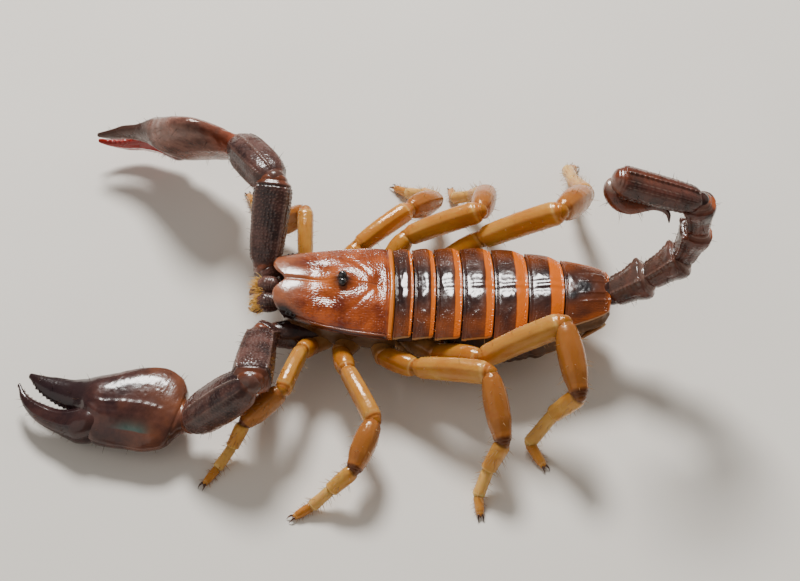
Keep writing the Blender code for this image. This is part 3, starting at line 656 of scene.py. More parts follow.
@dataclass(frozen=True)
class Finish:
    """The look of one kind of shell.

    Attributes:
        name: the material's name.
        slot: not used; nothing in the script reads it.
        deep, base: colours that slow mottling mixes.
        band, dark, pale: colours of the three masks.
        roughness: mean roughness.
        coat: weight of the waxy coat.
        grain: strength of the fine relief.
        fineness: scale of the fine relief.
        pits: depth of the pits in it.
        glow: share of light that passes through the shell.
        shine: tint of the light that the shell itself reflects.
    """

    name: str
    slot: str
    deep: tuple[float, float, float]
    base: tuple[float, float, float]
    band: tuple[float, float, float] = (0.3, 0.1, 0.03)
    dark: tuple[float, float, float] = (0.012, 0.008, 0.008)
    pale: tuple[float, float, float] = (0.55, 0.4, 0.24)
    roughness: float = 0.26
    coat: float = 0.35
    grain: float = 0.25
    fineness: float = 1.0
    pits: float = 0.3
    glow: float = 0.0
    mottle: tuple[float, float] = (0.36, 0.64)
    shine: tuple[float, float, float] = (1.0, 1.0, 1.0)

    def material(self, cuticle: bpy.types.NodeTree) -> bpy.types.Material:
        """Return the material: mottled colour under three masks, with a grained, coated surface."""
        made = bpy.data.materials.new(self.name)
        made.use_nodes = True
        made.node_tree.nodes.clear()
        graph = Graph(made.node_tree)
        grain = graph.node("ShaderNodeGroup", node_tree=cuticle)
        for label, value in (("Fineness", self.fineness), ("Pits", self.pits), ("Wrinkle", 0.5)):
            grain.inputs[label].default_value = value
        cloud = graph.remap(grain.outputs["Mottle"], *self.mottle)
        colour = graph.mix(cloud, self.deep, self.base)
        fleck = graph.math("MULTIPLY", grain.outputs["Fleck"], 0.25)
        colour = graph.mix(fleck, colour, self.deep)
        for label, tint in (("band", self.band), ("pale", self.pale), ("dark", self.dark)):
            wobble = graph.math("MULTIPLY", graph.math("SUBTRACT", grain.outputs["Mottle"], 0.5), 0.5)
            mask = graph.attribute(label)
            ragged = graph.math("MULTIPLY", wobble, graph.math("MINIMUM", mask, 0.6))
            colour = graph.mix(graph.math("ADD", mask, ragged, True), colour, tint)
        rough = graph.remap(grain.outputs["Mottle"], 0.3, 0.7, self.roughness * 0.75,
                            self.roughness * 1.3)
        bump = graph.node("ShaderNodeBump", {"Height": grain.outputs["Height"], "Strength": self.grain,
                                             "Distance": 0.00006})
        shader = graph.node("ShaderNodeBsdfPrincipled", {
            "Base Color": colour, "Roughness": rough, "Normal": bump.outputs[0], "Coat Weight": self.coat,
            "Coat Roughness": 0.09, "Specular IOR Level": 0.4, "IOR": 1.5})
        shader.inputs["Specular Tint"].default_value = (*self.shine, 1.0)
        if self.glow:
            shader.inputs["Subsurface Weight"].default_value = self.glow
            shader.inputs["Subsurface Radius"].default_value = (1.0, 0.42, 0.16)
            shader.inputs["Subsurface Scale"].default_value = 0.0009
        output = graph.node("ShaderNodeOutputMaterial")
        graph.feed(output.inputs["Surface"], shader.outputs[0])
        return made


FINISHES = {
    "carapace": Finish("carapace_shell", "carapace_shell", (0.13, 0.018, 0.005), (0.40, 0.075, 0.008),
                       band=(0.66, 0.17, 0.012), pale=(0.34, 0.15, 0.085), dark=(0.008, 0.004, 0.004),
                       roughness=0.2, coat=0.3, grain=0.3, pits=0.15),
    "tergite": Finish("tergite_shell", "tergite_shell", (0.014, 0.006, 0.007), (0.060, 0.018, 0.010),
                      band=(0.66, 0.135, 0.004), pale=(0.55, 0.3, 0.12), dark=(0.006, 0.003, 0.005),
                      roughness=0.19, coat=0.3, grain=0.42, fineness=0.6, pits=0.12),
    "pleura": Finish("pleura_skin", "pleura_skin", (0.020, 0.010, 0.007), (0.085, 0.036, 0.016),
                     band=(0.26, 0.12, 0.035), pale=(0.3, 0.22, 0.13), roughness=0.5, coat=0.0,
                     grain=0.5, pits=0.1),
    "belly": Finish("belly_shell", "belly_shell", (0.26, 0.10, 0.025), (0.5, 0.25, 0.08),
                    band=(0.5, 0.19, 0.035), dark=(0.04, 0.018, 0.010), pale=(0.65, 0.46, 0.24),
                    roughness=0.32, coat=0.3, grain=0.3, glow=0.1),
    # The leg finishes' shine tints their reflections amber: a painted reflection colour.
    "leg": Finish("leg_shell", "leg_shell", (0.44, 0.160, 0.014), (0.54, 0.285, 0.042),
                  band=(0.42, 0.11, 0.014), dark=(0.09, 0.022, 0.008), pale=(0.80, 0.52, 0.18),
                  roughness=0.22, coat=0.22, grain=0.22, pits=0.2, glow=0.3, shine=(1.0, 0.66, 0.36)),
    # Painted light: a lighter copy of the leg finish for the far legs, painting the light bounced up
    # through them.
    "far_leg": Finish("far_leg_shell", "leg_shell", (0.49, 0.175, 0.014), (0.60, 0.310, 0.042),
                      band=(0.48, 0.125, 0.015), dark=(0.10, 0.026, 0.009), pale=(0.80, 0.52, 0.18),
                      roughness=0.22, coat=0.18, grain=0.22, pits=0.2, glow=0.3, shine=(1.0, 0.62, 0.30)),
    "palp": Finish("palp_shell", "palp_shell", (0.024, 0.010, 0.010), (0.105, 0.042, 0.033),
                   band=(0.24, 0.062, 0.020), pale=(0.24, 0.145, 0.115), dark=(0.006, 0.004, 0.004),
                   roughness=0.25, coat=0.12, grain=0.45, pits=0.35),
    # hand: its pale colour is the teal of a painted reflection on the palm.
    "hand": Finish("hand_shell", "hand_shell", (0.026, 0.009, 0.010), (0.080, 0.028, 0.022),
                   band=(0.24, 0.075, 0.028), pale=(0.045, 0.085, 0.075), dark=(0.009, 0.004, 0.007),
                   roughness=0.2, coat=0.2, grain=0.22, fineness=0.7, pits=0.5),
    # Painted light: a lighter copy of the hand finish for the far hand, painting the sheen on it; its
    # shine also tints and dims its reflections.
    "far_hand": Finish("far_hand_shell", "hand_shell", (0.075, 0.028, 0.021), (0.26, 0.115, 0.085),
                       band=(0.28, 0.050, 0.014), pale=(0.13, 0.075, 0.065), dark=(0.014, 0.006, 0.006),
                       roughness=0.24, coat=0.06, grain=0.3, fineness=0.7, pits=0.6,
                       shine=(0.85, 0.68, 0.60)),
    # Painted light: the far movable finger's red is a painted glow of light shining through it from
    # behind.
    "red_finger": Finish("red_finger_shell", "hand_shell", (0.05, 0.006, 0.005), (0.16, 0.012, 0.008),
                         band=(0.34, 0.016, 0.010), dark=(0.02, 0.004, 0.004), roughness=0.2, coat=0.5,
                         grain=0.2, pits=0.4),
    "tail": Finish("tail_shell", "tail_shell", (0.020, 0.008, 0.007), (0.115, 0.034, 0.024),
                   band=(0.42, 0.085, 0.012), pale=(0.24, 0.15, 0.12), dark=(0.006, 0.003, 0.003),
                   roughness=0.19, coat=0.12, grain=0.35, pits=0.2),
    "sting": Finish("sting_shell", "sting_shell", (0.055, 0.010, 0.006), (0.17, 0.034, 0.013),
                    band=(0.26, 0.060, 0.016), pale=(0.30, 0.22, 0.18), dark=(0.030, 0.006, 0.004),
                    roughness=0.2, coat=0.15, grain=0.15, pits=0.1, glow=0.1),
    "joint": Finish("joint_skin", "pleura_skin", (0.20, 0.10, 0.04), (0.42, 0.24, 0.10),
                    dark=(0.02, 0.014, 0.012), pale=(0.55, 0.4, 0.24), roughness=0.42, coat=0.1,
                    grain=0.5, glow=0.15),
    "eye": Finish("eye_lens", "eye_lens", (0.006, 0.006, 0.008), (0.012, 0.011, 0.013),
                  roughness=0.06, coat=1.0, grain=0.0, pits=0.0),
    "bristle": Finish("bristle_hair", "leg_shell", (0.30, 0.15, 0.05), (0.55, 0.33, 0.14),
                      roughness=0.35, coat=0.0, grain=0.0),
    "dark_bristle": Finish("dark_bristle_hair", "tail_shell", (0.05, 0.02, 0.01), (0.16, 0.07, 0.03),
                           roughness=0.35, coat=0.0, grain=0.0),
    "gold_bristle": Finish("gold_bristle_hair", "leg_shell", (0.75, 0.36, 0.05), (0.95, 0.62, 0.16),
                           roughness=0.35, coat=0.0, grain=0.0),
    "claw": Finish("claw_horn", "tail_shell", (0.03, 0.012, 0.008), (0.12, 0.04, 0.015),
                   roughness=0.2, coat=0.5, grain=0.05),
}


# ---------------------------------------------------------------- workshop
def placed(name: str, data: bpy.types.ID) -> bpy.types.Object:
    """Return a new object in the scene that shows the data."""
    thing = bpy.data.objects.new(name, data)
    bpy.context.scene.collection.objects.link(thing)
    return thing


@dataclass
class Workshop:
    offset: Array
    materials: dict[str, bpy.types.Material]
    triangles: int = 0

    @classmethod
    def open(cls) -> Workshop:
        """Return the workshop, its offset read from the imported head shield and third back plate."""
        shield, plate = np.array(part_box("carapace")), np.array(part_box("tergite_3"))
        offset = np.array((shield[1, 0] - Trunk.shield_rear_x * MM, plate[:, 1].mean(), 0.0))
        cuticle = cuticle_group()
        return cls(offset, {key: finish.material(cuticle) for key, finish in FINISHES.items()})

    def place(self, points: Array) -> Array:
        """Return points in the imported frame, in metres."""
        return points * MM + self.offset

    def add(self, name: str, skins: list[Skin], finish: str, nodes: tuple[str, ...] = ()) -> None:
        """Add a piece made of closed surfaces.

        Args:
            name: the piece's name.
            skins: its surfaces.
            finish: key of its finish.
            nodes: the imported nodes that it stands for.
        """
        skin = joined(skins)
        mesh = bpy.data.meshes.new(name)
        mesh.from_pydata(self.place(skin.points), [], skin.quads.tolist() + skin.tris.tolist())
        for label in MASKS:
            values = np.ascontiguousarray(np.clip(skin.masks[label], 0, 1), np.float32)
            mesh.attributes.new(label, "FLOAT", "POINT").data.foreach_set("value", values)
        self.finish_piece(name, mesh, finish, nodes, 2 * len(skin.quads) + len(skin.tris))

    def add_bristles(self, name: str, groups: list[Bristles], finish: str, sag: float = 0.12) -> None:
        """Add a piece made of hairs, with their places on the skin's unwrap in the map OFBake."""
        points, quads, tris, places, start = [], [], [], [], 0
        for group in groups:
            p, q, t, uv = group.build(sag)
            points.append(np.maximum(p, (-np.inf, -np.inf, HAIR_CLEARANCE)))
            quads.append(q + start)
            tris.append(t + start)
            places.append(uv)
            start += len(p)
        mesh = bpy.data.meshes.new(name)
        faces = np.concatenate(quads).tolist() + np.concatenate(tris).tolist()
        mesh.from_pydata(self.place(np.concatenate(points)), [], faces)
        loops = np.empty(len(mesh.loops), np.int32)
        mesh.loops.foreach_get("vertex_index", loops)
        layer = mesh.uv_layers.new(name="OFBake")
        layer.data.foreach_set("uv", np.concatenate(places)[loops].astype(np.float32).reshape(-1))
        self.finish_piece(name, mesh, finish, (), len(faces) * 2)

    def finish_piece(self, name: str, mesh: bpy.types.Mesh, finish: str, nodes: tuple[str, ...],
                     count: int) -> None:
        """Make the mesh a dressed object under the root body, and report its count of triangles."""
        mesh.materials.append(self.materials[finish])
        mesh.shade_smooth()
        mesh.update()
        piece = placed(name, mesh)
        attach(piece, "root")
        if nodes:
            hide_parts(*nodes)
        self.triangles += count
        log.info("%s: %d triangles", name, count)


# ---------------------------------------------------------------- trunk
def edged(count: int) -> Array:
    """Return rising shares from -1 to 1 that crowd toward both ends, by a sine."""
    return np.sin(np.linspace(-0.46, 0.46, count) * math.pi) / math.sin(0.46 * math.pi)


def plate_shares(rows: int, columns: int) -> tuple[Array, Array]:
    """Return a plate's grid: share of the way back from 0 to 1, and of the half width from -1 to 1."""
    return (edged(rows)[:, None] + 1) / 2, edged(columns)[None]


def spots_of(x: Array, y: Array) -> Array:
    """Return the flat places X, Y of a grid, for patterns that lie on it."""
    return np.stack(np.broadcast_arrays(x, y), -1)


@dataclass(frozen=True)
class Trunk:
    """Outline of the body along X: half width, crown, edge and belly heights."""

    shield_front_x: float = -12.1
    shield_rear_x: float = -0.46
    ring_x: tuple[float, ...] = (-0.4, 1.4, 3.5, 6.0, 9.0, 12.2, 15.6, 20.0)
    ring_half_width: tuple[float, ...] = (5.45, 5.5, 5.55, 5.6, 5.53, 5.05, 4.2, 2.75)
    crown_height: float = 8.1
    edge_height: float = 6.95
    belly_height: float = 1.6
    belly_rise: float = 3.1
    head_turn: float = 1.3
    head_drop: float = 0.35
    head_edge_drop: float = 0.4

    def half_width(self, x: Array) -> Array:
        """Return the back's half width at X."""
        return smooth_through(x, self.ring_x, self.ring_half_width)

    def crown(self, x: Array) -> Array:
        """Return the midline's height at X: level, falling toward the head's front and the tail."""
        x = np.asarray(x, float)
        front = self.head_drop * np.clip((-6.0 - x) / 6.0, 0.0, 1.5) ** 1.8
        return self.crown_height - front - 0.55 * np.clip((x - 14.0) / 6.0, 0.0, 1.0) ** 1.5

    def edge(self, x: Array) -> Array:
        """Return the height of the plates' side edges at X."""
        ahead = np.clip((-2.0 - np.asarray(x, float)) / 10.0, 0.0, 1.0)
        return self.edge_height - self.head_edge_drop * ahead ** 1.2

    def head_shift(self, x: Array) -> Array:
        """Return how far the turned head lies off the midplane at X, to the animal's right."""
        return self.head_turn * np.clip(np.asarray(x, float) / self.shield_front_x, 0.0, 1.2) ** 1.5

    def back(self, x: Array, share: Array) -> Array:
        """Return the back's height at X, at a share of the half width from the midline."""
        return self.crown(x) - (self.crown(x) - self.edge(x)) * np.abs(share) ** 2.3

    def belly(self, x: Array) -> Array:
        """Return the height of the underside at X."""
        rise = np.clip((np.asarray(x, float) - 13.0) / 7.0, 0.0, 1.0) ** 1.6
        return self.belly_height + self.belly_rise * rise


@dataclass
class HeadShield:
    """The shield over the head part, with its notch, furrows, eyes and rims."""

    trunk: Trunk
    front_half_width: float = 3.7
    corner_setback: float = 1.2
    rear_half_width: float = 5.45
    thickness: float = 0.55
    notch_depth: float = 1.15
    eye_x: float = -5.4
    eye_spread: float = 0.44
    eye_radius: float = 0.42
    eye_lift: float = 0.34
    side_eye_radii: tuple[float, ...] = (0.13, 0.15, 0.12)
    rows: int = 190
    columns: int = 230

    def relief(self, x: Array, y: Array, across: Array, share: Array) -> Array:
        """Return the height of furrows, lobes, tubercle and granules over the plain shield.

        Each furrow is a bell curve of the distance from its line, within a window along X.
        """
        side, out, from_eye = np.abs(y), np.abs(across), x - self.eye_x
        height = 0.5 * hump(from_eye, 1.0) * hump(y, 0.65)
        height = height - 0.10 * hump(y, 0.13) * hump(from_eye, 1.2)
        height = height - 0.11 * hump(across, 0.06) * np.clip((self.eye_x - 1.2 - x) / 3.0, 0, 1)
        height = height - 0.06 * hump(y, 0.09) * (1 - hump(from_eye, 1.3)) * (1 - ramp(-2.4, -1.6, x))
        height = height - 0.22 * hump(x + 2.1, 0.55) * hump(y, 0.55 + 0.5 * np.clip(x + 3.0, 0, 1.5))
        oblique = side - 1.0 - 0.95 * (-2.5 - x) + 0.1 * (x + 4.5) ** 2
        height = height - 0.05 * hump(oblique, 0.4) * ramp(-6.6, -5.2, x) * (1 - ramp(-2.8, -2.1, x))
        beside = side - 1.9 - 0.13 * (x + 9.0) ** 2
        height = height - 0.02 * hump(beside, 0.5) * ramp(-11.0, -10.0, x) * (1 - ramp(-7.2, -6.2, x))
        flat = out ** 2.3 - out ** 5
        lean = 0.65 - 0.35 * np.tanh(1.5 * y)
        height = height + 1.2 * lean * flat * hump(share - 0.12, 0.15)
        height = height + 0.09 * lean * hump(share - 0.07, 0.13) * hump(side - 1.25, 1.3)
        height = height - 0.19 * hump(x + 8.0, 1.1) * hump(side, 2.8) - 0.12 * ramp(-3.4, -0.6, x)
        height = height - 0.16 * hump(x + 6.8, 0.9) * hump(side - 1.9, 0.6)
        height = height + 0.05 * hump(x + 4.2, 1.6) * hump(side - 1.7, 0.8)
        rear_groove = hump(share - 0.945, 0.010) - 0.6 * hump(share - 0.972, 0.014)
        height = height - 0.10 * rear_groove - 0.06 * hump(out - 0.955, 0.012)
        spots = spots_of(x, y * 0.8)
        height = height + 0.018 * noise(spots, 1.1, 3, 2) * ramp(-10.0, -8.0, x)
        inside = (1 - ramp(0.93, 0.96, out)) * ramp(0.03, 0.06, share) * (1 - ramp(0.92, 0.94, share))
        flank = (ramp(0.45, 0.85, out) + hump(x + 6.5, 2.2) * 0.6) * inside
        height = height + 0.034 * granules(x * 4.2, y * 4.2, 11) * np.clip(flank, 0, 1)
        stipple = ramp(-9.0, -7.0, x + 0.5 * side) * inside * (1 - 0.8 * np.clip(flank, 0, 1))
        height = height + 0.030 * granules(x * 5.6, y * 5.6, 13, 0.45) * stipple
        height = height + 0.006 * noise(spots, 4.0, 5, 2) * ramp(-9.0, -11.0, x)
        return height - 0.22 * (ramp(0.965, 1.0, out) ** 2 + ramp(0.985, 1.0, share) ** 2
                                + (1 - ramp(0.0, 0.02, share)) ** 2)

    def surface(self) -> tuple[Array, dict[str, Array]]:
        """Return the shield's upper grid and its masks."""
        share, across = plate_shares(self.rows, self.columns)
        front = self.trunk.shield_front_x + self.notch_depth * hump(across, 0.26)
        front = front + self.corner_setback * np.abs(across) ** 5
        rear = self.trunk.shield_rear_x - 0.3 * across ** 2
        x = front + (rear - front) * share
        growth = self.rear_half_width - self.front_half_width
        y = (self.front_half_width + growth * np.sin(share * math.pi / 2) ** 0.9) * across
        z = self.trunk.back(x, across) + self.relief(x, y, across, share)
        side = np.abs(across)
        corner = hump(side - 0.95, 0.16) * hump(share - 0.06, 0.085)
        tubercle = hump(x - self.eye_x, 0.85) * hump(y, 0.72)
        cloud = noise(spots_of(x, y), 0.6, 21, 3)
        dark = 1.5 * corner + 1.2 * tubercle + 0.2 * ramp(0.2, 0.8, cloud)
        line = hump(y, 0.05) * (1 - hump(x - self.eye_x, 1.6)) * (1 - ramp(-2.6, -1.8, x))
        rim = ramp(0.12, 0.2, share) * (1 - ramp(0.94, 0.96, share))
        dark = dark + 0.75 * ramp(0.984, 0.992, side) * rim
        band = ramp(0.955, 0.965, share) + 0.35 * hump(y, 1.5) * hump(x + 7.5, 2.2)
        pale = 0.5 * (1 - ramp(0.10, 0.28, share + cloud * 0.05)) * (1 - corner) + 0.5 * line
        pale = pale + 0.75 * hump(side - 0.976, 0.006) * rim
        masks = {"dark": dark, "band": np.clip(band, 0, 1), "pale": pale}
        return np.stack((x, y + self.trunk.head_shift(x), z), -1), masks

    def build(self, shop: Workshop) -> None:
        """Add the shield, the two median eyes and the small side eyes."""
        grid, masks = self.surface()
        shop.add("head_shield", [plate_skin(grid, self.thickness, masks)], "carapace", ("carapace",))
        height = float(self.trunk.crown(self.eye_x)) + self.eye_lift
        middle = self.trunk.head_shift(self.eye_x)
        beads = []
        for side in Side:
            centre = (self.eye_x, side.value * self.eye_spread + middle, height)
            eye = ball(centre, self.eye_radius, rows=24, columns=32)
            shop.add(f"median_eye_{side.label}", [eye], "eye", (f"eye_{side.label}",))
            for step, radius in enumerate(self.side_eye_radii):
                row = int(self.rows * (0.13 + 0.045 * step))
                column = int(self.columns * (0.5 + side.value * 0.405))
                beads.append(ball(grid[row, column] - UP * 0.04, radius, rows=12, columns=16))
        shop.add("side_eyes", beads, "eye")


@dataclass
class BackPlates:
    """The seven plates of the back, dark with an amber rear band."""

    trunk: Trunk
    thickness: float = 0.4
    step: float = 0.28
    gap: float = 0.02
    band_start: tuple[float, ...] = (0.80, 0.76, 0.70, 0.72, 0.63, 0.61, 0.97)
    rows: int = 84
    columns: int = 190

    def surface(self, index: int) -> tuple[Array, dict[str, Array]]:
        """Return the upper grid of one plate and its masks.

        Args:
            index: 0 for the foremost plate.
        """
        front, rear = self.trunk.ring_x[index] + self.gap, self.trunk.ring_x[index + 1] - self.gap
        share, across = plate_shares(self.rows, self.columns)
        level_x = front + (rear - front) * share
        y = (self.trunk.half_width(level_x) - 0.45 * share ** 6) * across
        z = self.trunk.back(level_x, across) - self.step * (1 - share) ** 2
        side, out, length = np.abs(y), np.abs(across), rear - front
        late = index / 6.0
        spots = spots_of(level_x, y)
        cloud = noise(spots, 0.7, 31 + index, 3)
        if index < 6:
            z = z + 0.05 * hump(side - 0.06, 0.17) * ramp(0.1, 0.35, share) * late
            z = z + 0.045 * hump(side - 1.35, 0.7) * hump(share - 0.42, 0.28)
            z = z - 0.035 * hump(side - 0.5, 0.26) * (0.4 + 0.6 * late)
            z = z - 0.19 * ramp(0.5, 1.0, share) ** 1.5
            z = z - 0.03 * hump(side - 2.6, 0.7) * hump(share - 0.4, 0.25)
        else:
            for keel_y in (0.75, 1.75):
                z = z + 0.045 * hump(side - keel_y * (1.1 - 0.3 * share), 0.14) * ramp(0.2, 0.5, share)
        clear = ramp(0.03, 0.14, share)
        crinkle = noise(spots * (1.9, 1.3), 1.0, 41 + index, 2) * 0.028
        wave = np.sin(share * length * 9 + 5 * cloud)
        fold = 0.012 * (1 - 0.9 * late) * wave * (1 - ramp(0.3, 0.6, share)) * clear
        z = z + (crinkle * hump(side - 0.9, 1.4) + fold) * (1 - ramp(0.75, 0.85, share)) * clear
        wrinkle = noise(spots * (3.4, 1.6), 1.0, 47 + index, 2) * hump(y + 3.4, 1.2)
        z = z + 0.035 * (wrinkle * (1 - ramp(0.6, 0.75, share))) * clear
        grain = granules(level_x * 4.6, y * 4.6, 51 + index)
        inside = (1 - ramp(0.93, 0.96, out)) * (1 - ramp(0.92, 0.95, share))
        z = z + 0.028 * grain * (ramp(0.3, 0.75, out) + ramp(0.8, 0.9, share)) * inside * clear
        z = z - 0.07 * hump(share * length - 0.22, 0.07)
        z = z + 0.07 * hump((share - 1) * length + 0.12, 0.09)
        z = z - 0.16 * (ramp(0.97, 1, out) ** 2 + ramp(1 - 0.16 / length, 1, share) ** 2)
        x = level_x - 0.3 * across ** 2
        start = self.band_start[index] + 0.025 * cloud - 0.05 * hump(side, 1.3) * late
        # Painted shade: the rear edge and its wall go dark where each plate overhangs the next.
        lip = ramp(1 - 0.10 / length, 1 - 0.05 / length, share) * (index < 6)
        band = ramp(-0.015, 0.02, share - start) * (1 - lip)
        brown = (0.13 * ramp(1.6, 4.2, side) + 0.08 * ramp(0.45, 0.7, share)) * (1.0 + 1.2 * cloud)
        dark = 0.6 * hump(side, 2.0) * (1 - ramp(0.5, 0.75, share)) * (1 - band) + lip
        if index == 6:
            blotch = hump(side, 1.1) * hump(share - 0.42, 0.26)
            blotch = blotch + 0.7 * hump(side - 1.2, 0.7) * hump(share - 0.1, 0.2)
            dark = blotch * (1.1 + 0.6 * cloud)
            edges = ramp(0.78, 1.0, out) + ramp(0.82, 1.0, share)
            brown = 0.13 + 0.10 * cloud + 0.30 * np.clip(edges, 0, 1)
        # Painted highlight: a pale line along each plate's side edges.
        pale = 0.7 * ramp(0.978, 0.99, out)
        band = np.clip(np.maximum(band, brown * (1 - lip)), 0, 1)
        return np.stack((x, y, z), -1), {"band": band, "dark": dark, "pale": pale}

    def build(self, shop: Workshop) -> None:
        """Add the seven plates."""
        for index in range(7):
            grid, masks = self.surface(index)
            skin = plate_skin(grid, self.thickness, masks)
            shop.add(f"back_plate_{index + 1}", [skin], "tergite", (f"tergite_{index + 1}",))


@dataclass
class Underside:
    """The soft flanks, the belly plates, the coxae and the comb organs."""

    trunk: Trunk
    plate_rear_x: tuple[float, ...] = (6.0, 9.2, 12.4, 15.8, 19.6)
    plate_front_x: float = 3.2
    plate_rows: int = 56
    plate_columns: int = 110
    flank_rows: int = 200
    flank_columns: int = 132
    comb_length: float = 5.6
    comb_yaw: float = 48.0
    comb_teeth: int = 17
    comb_z: float = 1.1

    COXA = ((0, 0.72, 0.78), (0.55, 1, 1), (1, 0.8, 0.86))
    SHAFT = ((0, 0.42, 0.24), (0.3, 0.5, 0.27), (0.7, 0.42, 0.25), (1, 0.24, 0.2))

    def flanks(self) -> Tube:
        """Return the soft trunk: under the plates on top, bulging and pleated at the sides.

        Each ring is a rounded box whose upper side follows the back plates from below.
        """
        x = np.linspace(-0.2, 19.85, self.flank_rows)
        angle = ring_angles(self.flank_columns)
        across, along = superellipse(angle, 0.6)
        over_coxae = 1 - np.clip((x - 3.6) / 2, 0, 1)
        beside_legs = np.clip((7.0 - x) / 3.4, 0, 1) * np.clip((x - 1) / 2, 0, 1)
        waist = self.trunk.half_width(x) * (1.015 - 0.2 * ramp(13.0, 18.0, x))
        waist = waist - 1.6 * beside_legs - 0.3 * over_coxae
        waist = waist * np.sqrt(np.clip((20.3 - x) / 1.2, 0, 1))
        bottom = (self.trunk.belly(x) + 0.5 + 3.4 * over_coxae)[:, None]
        y = waist[:, None] * across
        top = self.trunk.back(x[:, None], np.clip(y / self.trunk.half_width(x)[:, None], -1, 1)) - 0.85
        middle = (self.trunk.edge(x)[:, None] - 0.75 + bottom) / 2
        z = middle + np.where(along > 0, top - middle, middle - bottom) * along
        grid = np.stack((np.broadcast_to(x[:, None], y.shape), y, z), -1)
        tube = Tube(grid, (x + 0.4) / 20.4, angle)
        flank = ramp(0.55, 0.85, np.abs(np.cos(angle)))[None]
        crease = sum(hump(x - joint, 0.24) for joint in self.trunk.ring_x)[:, None]
        pleat = noise(grid * (2.4, 0.4, 0.7), 1.0, 61, 2) * 0.10 + noise(grid, 3.0, 62, 2) * 0.05
        fold = 0.10 * np.sin(z * 5.2 + noise(grid, 0.5, 63) * 2)
        tube = tube.raised(flank * (pleat + fold - 0.16 * crease))
        tail_end = 0.45 * ramp(12.0, 16.0, x)[:, None]
        return tube.masked(dark=0.4 * crease * flank, band=tail_end + 0.35 * ramp(0.5, 1, -along)[None])

    def belly_plate(self, index: int) -> Skin:
        """Return one belly plate, with its two breathing slits.

        Args:
            index: 0 for the foremost plate.
        """
        front = (self.plate_front_x, *self.plate_rear_x)[index] + 0.12
        rear = self.plate_rear_x[index] - 0.12
        share, across = plate_shares(self.plate_rows, self.plate_columns)
        x = front + (rear - front) * share
        full = self.trunk.half_width(x) * 0.78
        half_width = full - (full - 2.4) * (1 - np.clip((x - 2) / 4, 0, 1))
        y = half_width * across
        side, out = np.abs(y), np.abs(across)
        z = self.trunk.belly(x) - 0.12 + 0.4 * out ** 4
        from_slit = side - half_width * 0.62
        slit_line = x - (front + rear) / 2 - from_slit * 0.5
        slit = hump(slit_line, 0.12) * hump(from_slit, 0.45) * (index < 4)
        rim = hump(slit_line, 0.32) * hump(from_slit, 0.6) * (index < 4) - slit
        keels = (hump(side - 0.7, 0.12) + hump(side - 1.7, 0.12)) * (index == 4) * ramp(0.2, 0.5, share)
        cloud = noise(spots_of(x, y), 0.8, 71 + index, 3)
        z = z + 0.14 * slit - 0.04 * rim - 0.10 * keels - 0.02 * cloud - 0.05 * hump(share - 0.9, 0.05)
        z = z + 0.12 * (ramp(0.96, 1, out) ** 2 + ramp(0.95, 1, share) ** 2)
        grid = np.stack(np.broadcast_arrays(x, y, z), -1)
        masks = {"dark": slit * 1.2 + 0.2 * ramp(0.1, 0.6, cloud), "band": 0.3 * ramp(0.3, 0.9, out),
                 "pale": 0.8 * ramp(0.86, 0.93, share) + 0.4 * rim}
        return plate_skin(grid, 0.3, masks, -1.0)

    def coxa(self, inner: Array, outer: Array, radius: float, seed: int) -> Skin:
        """Return one coxa: a tapered stub from near the midline to the limb's root."""
        profile = scaled(self.COXA, radius)
        tube = limb_segment(np.asarray(inner, float), np.asarray(outer, float), profile,
                            rows=48, columns=40)
        bumps = granules(tube.along * 14, tube.turn * 22, seed, wrap=22)
        tube = tube.raised(0.05 * noise(tube.grid, 1.6, seed, 2) + 0.03 * bumps)
        return tube.masked(band=0.5 * ramp(0.85, 0.95, tube.along),
                           dark=0.25 + 0.3 * hump(tube.along - 0.97, 0.05)).skin()

    def head_base(self) -> list[Skin]:
        """Return the underside of the head part: core, coxae, breast plate and genital lids."""
        x = np.linspace(-11.3, -0.45, 60)
        share = (x + 12.1) / 11.7
        half_width = (3.3 + 1.35 * share) * np.sqrt(np.clip((x + 11.6) / 1.4, 0, 1))
        top = self.trunk.crown(x) - 1.15
        path = np.stack((x, 0.5 * self.trunk.head_shift(x), (top + 2.4) / 2), -1)
        core = sweep(path, ACROSS, UP, half_width, (top - 2.4) / 2, 64, 0.7, share)
        core = core.raised(0.08 * noise(core.grid, 1.2, 81, 3)).masked(dark=0.75)
        skins = [core.skin()]
        for side in Side:
            for number, plan in LEG_PLANS.items():
                inner = (-7.6 + 1.9 * number, side.value * 1.3, 2.9)
                skins.append(self.coxa(inner, plan.root(side), 1.1 * plan.girth, 90 + number))
            skins.append(ball((-0.75, side.value * 0.42, 1.95), 0.5, (0.8, 0.85, 0.5), pale=0.3))
        skins.append(ball((-2.1, 0.0, 2.0), 0.9, (1.15, 0.8, 0.42), rows=24, columns=32, pale=0.25))
        return skins

    def arm_coxae(self) -> list[Skin]:
        """Return the dark blocks that carry the claw arms, under the shield's front corners."""
        return [self.coxa((-7.9, side.value * 2.7, 4.1), arm_root(side), 1.35, 99) for side in Side]

